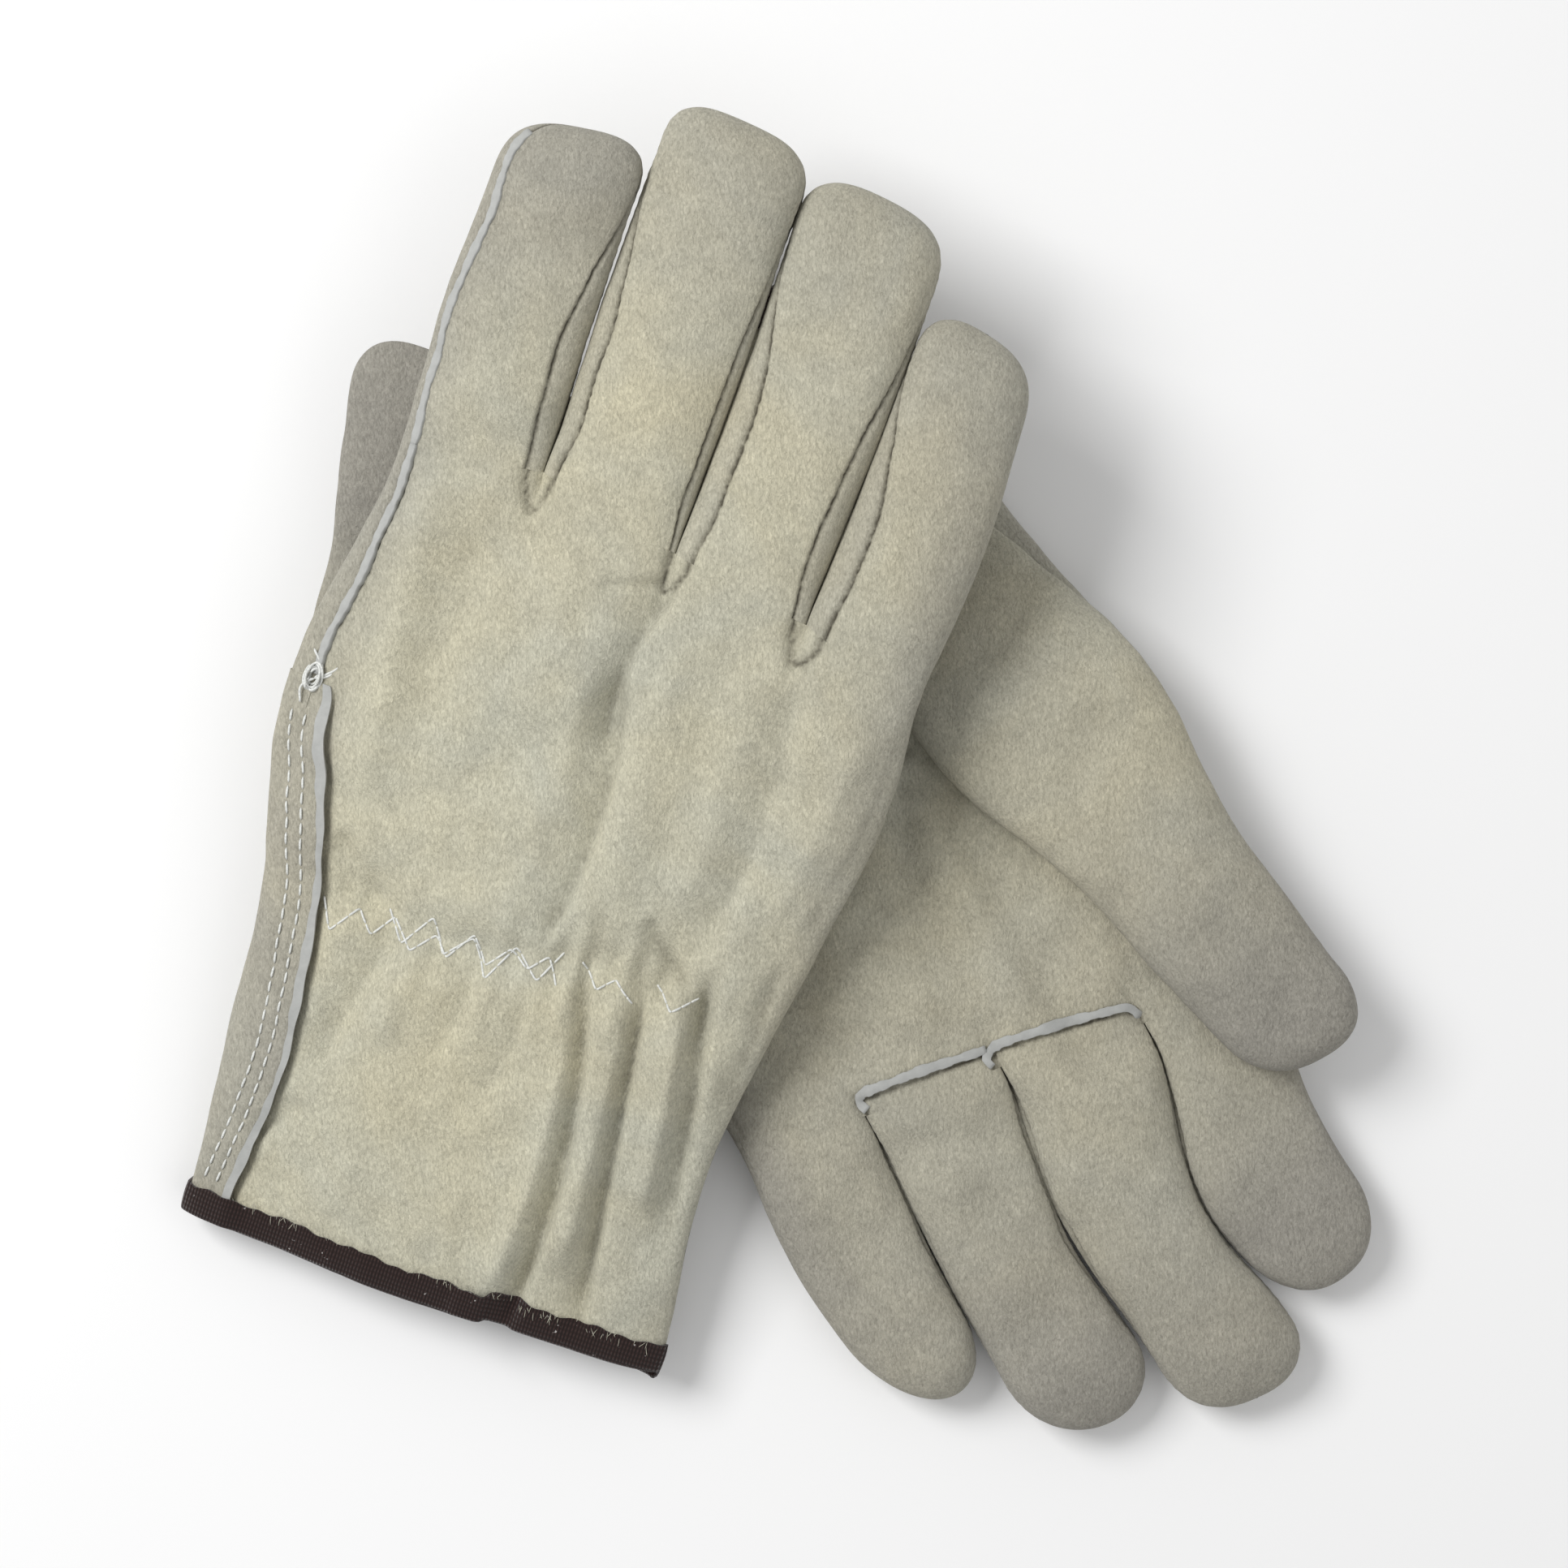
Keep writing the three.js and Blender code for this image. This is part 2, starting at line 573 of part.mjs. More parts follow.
const rightGlove = glove("right");
const leftGlove = glove("left");
leftGlove.scale.z = -1; // a left glove, palm up, is a right glove, palm down, mirrored top to bottom
leftGlove.position.set(leftCuffFromRight.x, leftCuffFromRight.y, 0);

// Both gloves rest on z = 0, and the pair is centred over the origin.
for (const each of [rightGlove, leftGlove]) {
  const ground = new THREE.Box3().setFromObject(each, true).min.z;
  each.position.z -= ground;
}
const pair = new THREE.Group();
pair.add(leftGlove, rightGlove);
const extent = new THREE.Box3().setFromObject(pair, true);
const middle = extent.getCenter(new THREE.Vector3());
pair.position.set(-middle.x, -middle.y, 0);

export default pair;
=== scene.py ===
import json

import bmesh
import bpy
import numpy as np
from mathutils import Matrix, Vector


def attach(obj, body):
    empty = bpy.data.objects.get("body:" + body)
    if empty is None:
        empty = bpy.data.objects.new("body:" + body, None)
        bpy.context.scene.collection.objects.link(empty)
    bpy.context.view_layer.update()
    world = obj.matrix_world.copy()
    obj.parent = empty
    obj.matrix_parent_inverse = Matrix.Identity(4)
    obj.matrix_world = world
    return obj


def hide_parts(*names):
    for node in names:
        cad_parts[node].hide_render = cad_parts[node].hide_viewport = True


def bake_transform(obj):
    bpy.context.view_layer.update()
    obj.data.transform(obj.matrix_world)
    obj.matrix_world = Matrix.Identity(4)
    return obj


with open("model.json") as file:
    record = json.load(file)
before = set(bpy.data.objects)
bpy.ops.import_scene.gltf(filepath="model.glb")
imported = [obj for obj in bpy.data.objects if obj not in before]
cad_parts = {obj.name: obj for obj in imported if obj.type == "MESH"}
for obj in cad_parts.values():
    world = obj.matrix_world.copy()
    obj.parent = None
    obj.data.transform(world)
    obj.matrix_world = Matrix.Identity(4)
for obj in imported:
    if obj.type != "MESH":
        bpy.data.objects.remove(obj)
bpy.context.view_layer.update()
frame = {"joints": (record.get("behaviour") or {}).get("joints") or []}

bl_info = {
    "name": "Suede work gloves",
    "version": (1, 0, 0),
    "blender": (4, 5, 0),
    "location": "View3D > Sidebar > Gloves",
    "description": "Builds a pair of gunn cut suede work gloves with keystone thumbs and bound cuffs",
    "category": "Add Mesh",
}

MM = 0.001
HANDS = ("left", "right")

# ---------- the pattern, in millimetres, in a glove's own frame ----------
# x across, y from cuff to fingertips, z to the back
BACK_DEPTH = 7.6
PALM_DEPTH = 7.8
WRIST_DEPTH = 5.8
CUFF_DEPTH = 6.1
RECESS_DEPTH = 5.0
ELASTIC_Y = 80.0
KNOT_Y = 121.0
HAND_LENGTH = 172.0
FINGER_WIDTHS = np.array([30.0, 31.0, 30.0, 28.0])
FINGER_GAP = 1.2
ROOT_RISE = np.array([4.0, 8.0, 1.0, -4.0, -13.0])
ROOT_X = np.concatenate([[0.0], np.cumsum(FINGER_WIDTHS + [FINGER_GAP, FINGER_GAP, FINGER_GAP, 0.0])])
ROOT_X = ROOT_X - ROOT_X[-1] / 2
ROOT_Y = HAND_LENGTH + ROOT_RISE

# half widths of the hand at the cuff, the wrist, its widest place and the fingers' roots: y, then half width
THUMB_SIDE = ((0.0, 54.0), (60.0, 58.0), (122.0, 69.0), (176.0, 61.3))
LITTLE_SIDE = ((0.0, 56.0), (45.0, 52.0), (140.0, 63.0), (159.0, 61.3))

# the overlap's cut edge: across the glove at the cuff, at its waist and at the knot
LAP_CUFF = -45.5
LAP_WAIST = -42.0
LAP_WAIST_Y = 35.0
LAP_KNOT = -59.5
LAP_CURVE = 1.8

# rows of zigzag over the elastic: first and last x, pitch, height
ZIGZAGS = (
    (-46.0, 10.0, 4.2, 4.5),
    (-32.0, 11.0, 5.0, 7.0),
    (12.0, 26.0, 4.3, 4.5),
    (28.5, 38.0, 4.5, 3.5),
)
ZIGZAG_SLOPE = 0.1
BACK_WRAP = -25.0
WELT_TURN = ([0, 0.69, 0.85, 1.0], [143.5, 143.5, 145.0, 151.3])
INDEX_WELT = 138.5
LAP_START = 203.0
CROTCH = 0.5
WEB = 14.0

# name, length, depth of the front at root and tip, heading of the tip's end, bluntness of the tip,
# seam angles of the back on the thumb's side and on the little finger's side
FINGERS = (
    ("index", 73.5, 5.2, 6.4, 8.0, 3.0, 42.0, 50.0),
    ("middle", 88.0, 7.6, 7.2, -5.0, 3.2, 46.0, 32.0),
    ("ring", 89.0, 7.6, 7.2, -7.0, 2.8, 54.0, 46.0),
    ("little", 76.0, 7.4, 6.8, -13.0, 2.7, 60.0, -25.0),
)
# the lines between the fingers, from the thumb's side: how far each leans across by its end, and its bow
LINE_REACH = 78.0
LINES = {
    "right": ((-0.5, -1.0), (-0.5, -0.5), (0.0, 0.5), (2.0, 0.5), (1.0, 2.0)),
    "left": ((6.0, 4.0), (2.0, 7.0), (2.0, 4.0), (2.0, 1.0), (-2.0, 3.0)),
}
TIP_ROUND = {"right": 13.0, "left": 17.0}
TIP_SOFT = {"right": 0.0, "left": 0.75}
SHORTENED = {"right": (0.0, 0.0, 0.0, 0.0), "left": (1.0, 0.0, 6.0, 8.0)}
# grey mixed in towards each finger's tip, from the thumb's side: partly greyer leather, partly painted shade
# where the light falls off
TIP_GREY_AND_SHADE = {"right": (0.55, 0.30, 0.28, 0.38), "left": (0.90, 0.62, 0.74, 0.50)}
DROPS = {"right": (4.0, 7.0, 9.0, 9.0), "left": (0.0, 0.0, 0.0, 0.0)}
THUMB_HEEL_Y = 60.0
THUMB_SWELL_Y = 108.0
THUMB_NECK_Y = 155.0
THUMB_HEEL_HALF = 12.0
THUMB_SWELL_HALF = 25.5
THUMB_NECK_HALF = 17.5
THUMB_TIP_HALF = 14.8
THUMB_CENTRE = -38.0
THUMB_BEND_Y = 82.0
THUMB_SLOPE = 0.18
THUMB_LEAN = {"left": 0.0, "right": 4.5}
THUMB_END = {"left": 205.0, "right": 195.0}



def gunn_run(first, last, hook):
    """The gunn cut's seam under one finger: it hooks down from one root corner and crosses to the next."""
    x0, y0 = ROOT_X[first], ROOT_Y[first]
    x1, y1 = ROOT_X[last], ROOT_Y[last]
    start = [(x0 + hook - 1, y0 - 1), (x0 + hook, y0 - 3.5), (x0 - 1.5, y0 - 5)]
    return start + [((x0 + x1) / 2, (y0 + y1) / 2 - 5.5), (x1 + 1, y1 - 5)]


GUNN_CUT = (gunn_run(3, 2, 0.0), gunn_run(2, 1, 2.5) + [(ROOT_X[1], ROOT_Y[1] - 1.6)])

# folds: start, end, bow to the left of the way it runs, height (negative for a furrow),
# and width on its two sides
BACK_FOLDS = {
    "right": (
        ((10, 85), (14, 0), 5, 3.4, 7.0, 3.2),
        ((12, 85), (20, -8), 6, -5.0, 1.3, 5.0),
        ((23, 84), (29, 16), 1, 3.0, 3.2, 3.4),
        ((26, 85), (37, 2), 0, -4.2, 1.3, 4.0),
        ((34, 86), (41, 34), 1, 2.8, 3.2, 3.4),
        ((38, 92), (49, 26), 1, -3.6, 1.5, 4.5),
        ((-48, 92), (-34, 78), 1, -1.6, 2.4, 4.0),
        ((-27, 77), (-36, 38), -1, -2.4, 2.4, 5.5),
        ((-21, 78), (-26, 50), 0, 1.3, 4.0, 5.0),
        ((-36, 33), (-45, 20), 0, -1.2, 2.0, 3.0),
        ((-8, 80), (-12, 50), 0, -1.2, 2.4, 4.0),
        ((2, 78), (0, 44), 2, -1.3, 2.2, 4.5),
        ((6, 168), (2, 126), -4, -3.2, 1.3, 6.5),
        ((0, 148), (2, 82), 4, -3.4, 1.3, 6.5),
        ((-4, 160), (-3, 108), -2, 1.4, 8.0, 5.0),
        ((14, 164), (14, 92), -3, 1.9, 6.0, 6.0),
        ((3, 166), (-11, 161), 0, -1.2, 0.8, 1.6),
        ((34, 160), (28, 78), 8, -2.4, 3.0, 6.5),
        ((26, 158), (27, 98), 2, 1.6, 6.0, 6.0),
        ((52, 152), (48, 104), 1, 1.9, 5.0, 4.0),
        ((-50, 174), (-44, 100), -1, 2.2, 5.0, 6.0),
        ((-36, 168), (-36, 112), -2, -1.4, 6.0, 7.0),
        ((-20, 172), (-18, 126), 3, 1.3, 7.0, 7.0),
        ((22, 98), (36, 85), -1, -1.9, 1.6, 2.4),
        ((53, 98), (51, 56), 0, -1.8, 0.9, 2.2),
        ((58, 172), (52, 98), 3, 1.6, 3.0, 3.0),
    ),
    "left": (
        ((-20, 80), (-24, 10), 0, -1.2, 4.0, 4.0),
        ((15, 80), (12, 10), 0, -1.2, 4.0, 4.0),
        ((0, 160), (0, 100), -2, -0.8, 5.0, 5.0),
    ),
}
PALM_FOLDS = {
    "left": (
        ((-16, 100), (-28, 165), -22, -2.0, 5.0, 7.0),
        ((12, 108), (8, 158), -8, 1.3, 7.0, 7.0),
        ((34, 120), (32, 158), -3, -0.9, 5.0, 6.0),
        ((48, 96), (50, 146), -3, 1.0, 6.0, 5.0),
        ((-14, 104), (-4, 97), -1, -1.6, 1.6, 2.6),
        ((28, 96), (26, 122), 3, -0.8, 4.0, 5.0),
        ((-2, 84), (-2, 20), 2, -0.8, 4.0, 4.0),
    ),
    "right": (
        ((20, 90), (10, 150), -3, -1.0, 5.0, 5.0),
        ((36, 80), (38, 20), -3, -0.8, 4.0, 4.0),
        ((0, 80), (2, 12), 3, -0.8, 4.0, 4.0),
    ),
}


# ---------- numbers and shapes ----------
def smooth(x, a, b):
    t = np.clip((np.asarray(x, float) - a) / (b - a), 0, 1)
    return t * t * (3 - 2 * t)


def mix(a, b, t):
    return a + (b - a) * t


def rise(s, n):
    return np.clip(1 - np.abs(s) ** n, 0, 1) ** (1 / n)


def signed_power(v, p):
    return np.sign(v) * np.abs(v) ** p


class Ripples:
    """A smooth random surface: a sum of waves with seeded directions."""

    def __init__(self, seed, shortest, longest, count=36):
        rng = np.random.default_rng(seed)
        direction = rng.normal(size=(count, 3))
        direction /= np.linalg.norm(direction, axis=1)[:, None]
        length = shortest * (longest / shortest) ** rng.random(count)
        self.waves = direction * (2 * np.pi / length)[:, None]
        self.phase = rng.random(count) * 2 * np.pi
        self.weight = (length / longest) / np.sqrt(np.sum((length / longest) ** 2) / 2)

    def __call__(self, points):
        flat = points.reshape(-1, 3)
        out = np.zeros(len(flat))
        for wave, phase, weight in zip(self.waves, self.phase, self.weight):
            out += weight * np.sin(flat @ wave + phase)
        return out.reshape(points.shape[:-1])


SAG = {hand: Ripples(seed, 18, 60) for seed, hand in enumerate(HANDS, 11)}
CRUMPLE = {hand: Ripples(seed, 5, 16, 48) for seed, hand in enumerate(HANDS, 21)}


def flowing(y, stations):
    """A curve through stations, level at each of them."""
    value = np.full(np.shape(y), stations[0][1])
    for (y0, _), (y1, target) in zip(stations[:-1], stations[1:]):
        value = mix(value, target, smooth(y, y0, y1))
    return value


def hand_half(x, y):
    """Half the hand's width at a height, on the side that x is on."""
    return np.where(x > 0, flowing(y, LITTLE_SIDE), flowing(y, THUMB_SIDE))


def lap_edge(y):
    """Where the overlap's cut edge lies across the glove: in to its waist, then curving out to the knot."""
    below = np.clip(1 - y / LAP_WAIST_Y, 0, 1)
    above = np.clip((y - LAP_WAIST_Y) / (KNOT_Y + 1 - LAP_WAIST_Y), 0, 1)
    return LAP_WAIST + (LAP_CUFF - LAP_WAIST) * below + (LAP_KNOT - LAP_WAIST) * above**LAP_CURVE


def thumb_half(y):
    """Half the thumb's width: its gusset swells from the heel, and narrows to the neck and the tip."""
    swell = np.sin(np.pi / 2 * np.clip((y - THUMB_HEEL_Y) / (THUMB_SWELL_Y - THUMB_HEEL_Y), 0, 1))
    half = mix(THUMB_HEEL_HALF, THUMB_SWELL_HALF, swell)
    half = mix(half, THUMB_NECK_HALF, smooth(y, THUMB_SWELL_Y, THUMB_NECK_Y))
    return mix(half, THUMB_TIP_HALF, np.clip((y - THUMB_NECK_Y) / 50, 0, 1))


def fold_path(start, end, bow, count=8):
    """Points on a shallow arc that stands bow to the left of the way from start to end."""
    start, end = np.array(start, float), np.array(end, float)
    way = end - start
    left = np.array([-way[1], way[0]]) / np.hypot(*way)
    s = np.linspace(0, 1, count)[:, None]
    return start + way * s + left * bow * 4 * s * (1 - s)


def fold_height(folds, x, y):
    """The height that a set of folds adds at points of a panel."""
    total = np.zeros(np.shape(x))
    for begin, end, bow, height, left, right in folds:
        best = np.full(np.shape(x), 1e9)
        offset = np.zeros(np.shape(x))
        place = np.zeros(np.shape(x))
        knots = fold_path(begin, end, bow)
        lengths = np.hypot(*(knots[1:] - knots[:-1]).T)
        starts = np.concatenate([[0], np.cumsum(lengths)])
        for a, b, start, length in zip(knots[:-1], knots[1:], starts, lengths):
            d = (b - a) / length
            s = np.clip((x - a[0]) * d[0] + (y - a[1]) * d[1], 0, length)
            dx, dy = x - a[0] - s * d[0], y - a[1] - s * d[1]
            distance = np.hypot(dx, dy)
            near = distance < best
            best = np.where(near, distance, best)
            offset = np.where(near, np.sign(dx * d[1] - dy * d[0]), offset)
            place = np.where(near, start + s, place)
        width = mix(left, right, 0.5 + 0.5 * offset * smooth(best, 0, 0.6))
        along = place / starts[-1]
        fade = smooth(along, -0.02, 0.16) * (1 - smooth(along, 0.84, 1.02))
        total += height * fade * np.exp(-((best / width) ** 1.7))
    return total


def gathers(x, y):
    """The shirring over the wrist elastic: a sunk line and short pleats on both sides of it."""
    inside = smooth(x, -50, -40) * (1 - smooth(x, 40, 52))
    away = y - ELASTIC_Y - 3 * np.sin(x / 13)
    line = -1.7 * np.exp(-((away / 4.5) ** 2))
    bulge = 1.0 * np.exp(-(((np.abs(away) - 12) / 7) ** 2))
    pleat = np.sin(x * 0.62 + 1.4 * np.sin(x * 0.11) + 0.02 * away) + 0.5 * np.sin(x * 1.15 + 2)
    reach = np.where(away > 0, 9, 12)
    depth = mix(0.28, 0.8, smooth(x, -6, 14)) * np.exp(-((np.abs(away) / reach) ** 1.5))
    return inside * (line + bulge + depth * pleat)


# ---------- the hand's skin ----------
def ridge_share(x):
    i = np.clip(np.searchsorted(ROOT_X, x, side="right") - 1, 0, 3)
    s = (x - ROOT_X[i]) / (ROOT_X[i + 1] - ROOT_X[i]) * 2 - 1
    outer = ((i == 0) & (s < 0)) | ((i == 3) & (s > 0))
    return np.where(outer, 1.0, mix(CROTCH, 1.0, rise(s, 2.6)))


def thumb_press(x, y):
    return (1 - smooth(x, -17, -8)) * smooth(y, 88, 97)


def hand_base(t, v):
    """Points of the hand's plain skin. t is the angle round the section, v the way from cuff to roots."""
    a = np.radians(t)
    share = signed_power(np.cos(a), 0.4)
    back = np.sin(a) >= 0
    reference = share * ROOT_X[-1]
    y = v * np.interp(reference, ROOT_X, ROOT_Y)
    half = hand_half(share, y)
    palm = mix(WRIST_DEPTH, PALM_DEPTH, smooth(y, ELASTIC_Y, ELASTIC_Y + 45))
    palm = mix(palm, RECESS_DEPTH, thumb_press(share * half, y))
    half = mix(half, ROOT_X[-1], smooth(v, 0.97, 1))
    depth = mix(CUFF_DEPTH, np.where(back, BACK_DEPTH, palm), smooth(y, 5, 24))
    square = np.interp(v, [0, 0.3, 0.8, 0.93, 1], [2.5, 2.6, 3.2, 3.6, 6])
    ridge = mix(1, ridge_share(reference), smooth(v, 0.91, 1.0))
    z = np.where(back, 1, -1) * depth * ridge * rise(share, square)
    return np.stack([share * half, y, z], axis=-1)


def dense_turns():
    """Angles round a hand's section, close together where a small turn is a long way."""
    shares = np.arccos(signed_power(np.linspace(-0.98, 0.98, 300), 2.5))
    turns = np.concatenate([np.linspace(-40, 360, 800), np.degrees(shares), 360 - np.degrees(shares)])
    return np.unique(turns)


TURNS = dense_turns()
AROUND = np.linalg.norm(np.diff(hand_base(TURNS, np.full_like(TURNS, 0.62)), axis=0), axis=1)
AROUND = np.concatenate([[0], np.cumsum(AROUND)])


def around(t):
    """Millimetres round the section of the middle of the hand at an angle, and the angle back from them."""
    return np.interp(t, TURNS, AROUND)


def turn_at(p):
    return np.interp(p, AROUND, TURNS)


def hand_skin(hand, t, v, lift=0.0):
    """Points of the finished skin of a hand, lift millimetres above it."""
    points = hand_base(t, v)
    x, y = points[..., 0], points[..., 1]
    back = np.sin(np.radians(t)) >= 0
    share = np.abs(np.cos(np.radians(t))) ** 0.4
    flat = smooth(1 - share, 0.0, 0.16)
    near_root = 1 - smooth(v, 0.95, 1.0)
    near_cuff = mix(0.6, 1, smooth(y, 0, 14))
    back_height = fold_height(BACK_FOLDS[hand], x, y) + gathers(x, y)
    palm_height = fold_height(PALM_FOLDS[hand], x, y)
    height = np.where(back, back_height, palm_height) * flat * near_root * near_cuff
    ripple = 0.55 * SAG[hand](points) + 0.16 * CRUMPLE[hand](points)
    height = height + ripple * mix(0.35, 1, flat) * near_root * near_cuff + lift
    side = np.clip(np.abs(x) / 60, 0, 1) ** 6
    outward = np.stack([np.sign(x) * side, 0 * y, np.where(back, 1, -1) * np.sqrt(1 - side * side)], axis=-1)
    return points + outward * height[..., None]


# ---------- the fingers' skin ----------
def finger_frame(i):
    (x0, x1), (y0, y1) = ROOT_X[i : i + 2], ROOT_Y[i : i + 2]
    heading = np.degrees(np.arctan2(y1 - y0, x1 - x0))
    return (x0 + x1) / 2, (y0 + y1) / 2, heading


def finger_line(hand, k, y):
    """Where a line between two fingers lies across the glove."""
    lean, bow = LINES[hand][k]
    s = np.clip((y - ROOT_Y[k]) / LINE_REACH, 0, 1)
    return ROOT_X[k] + lean * s + bow * np.sin(np.pi * s) ** 2


def finger_span(hand, i, y):
    """The middle and half the width of a finger across its length."""
    low, high = finger_line(hand, i, y) + 0.08, finger_line(hand, i + 1, y) - 0.08
    return (low + high) / 2, (high - low) / 2


def drooped(hand, i, points, root):
    """Bends a finger down over its root line, on an arc and then straight on."""
    drop = np.radians(DROPS[hand][i])
    if not drop:
        return points
    x, y, z = np.moveaxis(points, -1, 0)
    run = 20.0
    radius = run / drop
    s = np.maximum(y - root, 0)
    turn = np.minimum(s, run) / radius
    beyond = np.maximum(s - run, 0)
    arm = radius + z - BACK_DEPTH
    y2 = np.minimum(y, root) + arm * np.sin(turn) + beyond * np.cos(turn)
    z2 = BACK_DEPTH - radius + arm * np.cos(turn) - beyond * np.sin(turn)
    return np.stack([x, y2, z2], axis=-1)


def root_section(i, t):
    """Across and up for a finger's section where it leaves the hand, so that the two skins meet."""
    mid = (ROOT_X[i] + ROOT_X[i + 1]) / 2
    half = (ROOT_X[i + 1] - ROOT_X[i]) / 2
    a = np.radians(t)
    side = np.sign(np.cos(a))
    rising = np.degrees(np.arcsin(np.clip(np.abs(np.sin(a)), 0, 1)))
    joined = np.where(side > 0, i < 3, i > 0)
    e = np.radians(np.where(joined, np.clip((rising - WEB) / (90 - WEB), 0, 1) * 90, rising))
    c, up = np.abs(np.cos(e)) ** (2 / 2.6), np.sin(e) ** (2 / 2.6)
    x = mid + side * half * c
    back = np.sin(a) >= 0
    depth = np.where(back, BACK_DEPTH, mix(PALM_DEPTH, RECESS_DEPTH, thumb_press(x, 180.0)))
    ridge = np.where(rising < WEB, CROTCH * rising / WEB, mix(CROTCH, 1, up))
    return x, np.where(back, 1, -1) * depth * np.where(joined, ridge, 1) * rise(x / ROOT_X[-1], 6)


def seam_spread(i, rising):
    """How far from the crotch a finger's seam meets the root line."""
    half = (ROOT_X[i + 1] - ROOT_X[i]) / 2
    e = np.radians((rising - WEB) / (90 - WEB) * 90)
    return half * (1 - np.cos(e) ** (2 / 2.6))


def finger_skin(hand, i, t, s, sink=0.0, lift=0.0):
    """Points of a finger's finished skin: t is the angle round it, s the millimetres from its root."""
    length, front, front_tip, tip_heading, blunt = FINGERS[i][1:6]
    mid_x, mid_y, heading = finger_frame(i)
    s = s * (1 - SHORTENED[hand][i] / length)
    length = length - SHORTENED[hand][i]
    turned = TIP_ROUND[hand]
    q = np.clip((s - (length - turned)) / turned, 0, 1)
    near = np.clip(s / length, 0, 1)
    a = np.radians(t)
    power = 2 / 2.6
    c, up = signed_power(np.cos(a), power), np.abs(np.sin(a)) ** power
    centre, half = finger_span(hand, i, mid_y + s)
    half = half * rise(q, blunt - TIP_SOFT[hand])
    back = np.sin(a) >= 0
    tall = np.where(back, mix(BACK_DEPTH, BACK_DEPTH - 0.6, near), mix(front, front_tip, near)) * rise(q, 2.1)
    turn = np.radians(mix(heading, tip_heading, smooth(near, 0.1, 1)))
    from_root = smooth(s, 0, 13)
    root_x, root_z = root_section(i, t)
    x = mix(root_x, centre + half * c, from_root)
    y = mid_y + s + mix(root_x - mid_x, half * c, from_root) * np.tan(turn)
    z = mix(root_z, np.where(back, 1, -1) * tall * up, from_root)
    points = np.stack([x, y, z], axis=-1)
    outward = np.stack([np.cos(a) * np.cos(turn), np.cos(a) * np.sin(turn), np.sin(a)], axis=-1)
    ripple = (0.9 if hand == "left" else 0.6) * SAG[hand](points) + 0.16 * CRUMPLE[hand](points)
    ripple = ripple * smooth(s, 0, 12) * (1 - 0.6 * smooth(q, 0, 1)) * mix(0.08, 1, up)
    points = points + outward * (ripple + lift - sink)[..., None]
    root = np.interp(points[..., 0], ROOT_X, ROOT_Y)
    return drooped(hand, i, points, np.minimum(root, points[..., 1]))


# ---------- the thumb's skin ----------
def thumb_skin(hand, side, t, y, sink=0.0, lift=0.0):
    """Points of the thumb, with its keystone gusset behind y = 100. t runs 0 to 180 across it."""
    end = THUMB_END[hand]
    q = np.clip((y - (end - 15)) / 15, 0, 1)
    a = np.radians(t)
    power = 2 / 2.5
    c, up = signed_power(np.cos(a), power), np.abs(np.sin(a)) ** power
    half = thumb_half(y) * rise(q, 2.5)
    lean = np.tan(np.radians(THUMB_LEAN[hand])) * np.maximum(y - 108, 0)
    centre = THUMB_CENTRE - THUMB_SLOPE * np.maximum(y - THUMB_BEND_Y, 0) - lean
    seat = mix(WRIST_DEPTH, RECESS_DEPTH + 1, smooth(y, 88, 99))
    seam = seat + mix(0.2, 3.0, smooth(y, 66, 112))
    outer = mix(0.6, 8.4, smooth(y, 60, 108)) * rise(q, 2.1)
    inner = 2.8 * smooth(y, 92, 104) * rise(q, 2.1)
    z = -(seam + np.where(side > 0, outer * up, -inner * up))
    x = centre + half * c
    points = np.stack([x, np.broadcast_to(y, x.shape), z], axis=-1)
    outward = np.stack([np.cos(a), 0 * a, -np.sin(a) * side], axis=-1)
    ripple = 0.6 * SAG[hand](points) + 0.15 * CRUMPLE[hand](points)
    ripple = ripple * mix(0.3, 1, up) * (1 - 0.6 * smooth(q, 0, 1)) * smooth(y, 60, 80)
    return points + outward * (ripple + lift - sink)[..., None]


# ---------- from a glove's frame to the pair's ----------
def glove_axes(hand):
    joints = {j["name"]: j for j in frame["joints"]}
    across = np.array(joints[hand + "_middle_fold"]["axis"], float)
    if hand == "right":
        up = np.array(joints["right_thumb_swing"]["axis"], float)
        forward = np.cross(up, across)
    else:
        up = np.array([0.0, 0.0, -1.0])
        forward = np.cross(across, up)
    pivot = np.array(joints[hand + "_middle_fold"]["pos_m"], float)
    crease = BACK_DEPTH if hand == "right" else -BACK_DEPTH
    local = np.array([(ROOT_X[1] + ROOT_X[2]) / 2, (ROOT_Y[1] + ROOT_Y[2]) / 2, crease]) * MM
    matrix = np.stack([across, forward, up], axis=1)
    return matrix, pivot - matrix @ local


AXES = {hand: glove_axes(hand) for hand in HANDS}
FLOOR_GAP = 0.0002


def placed(hand, points):
    matrix, origin = AXES[hand]
    out = np.asarray(points, float) @ matrix.T * MM + origin
    out[..., 2] = np.maximum(out[..., 2], FLOOR_GAP)
    return out


# ---------- meshes ----------
def make_object(name, vertices, faces, material, **marks):
    mesh = bpy.data.meshes.new(name)
    mesh.from_pydata([tuple(p) for p in vertices], [], faces)
    mesh.polygons.foreach_set("use_smooth", [True] * len(mesh.polygons))
    for key, values in marks.items():
        layer = mesh.attributes.new(key, "FLOAT", "POINT")
        layer.data.foreach_set("value", np.asarray(values, np.float32).ravel())
    mesh.materials.append(material)
    mesh.update()
    piece = bpy.data.objects.new(name, mesh)
    bpy.context.scene.collection.objects.link(piece)
    return piece


def grid_faces(rows, columns, closed=False):
    i, j = np.meshgrid(np.arange(columns if closed else columns - 1), np.arange(rows - 1))
    a = j * columns + i
    b = j * columns + (i + 1) % columns
    return np.stack([a, b, b + columns, a + columns], axis=-1).reshape(-1, 4)


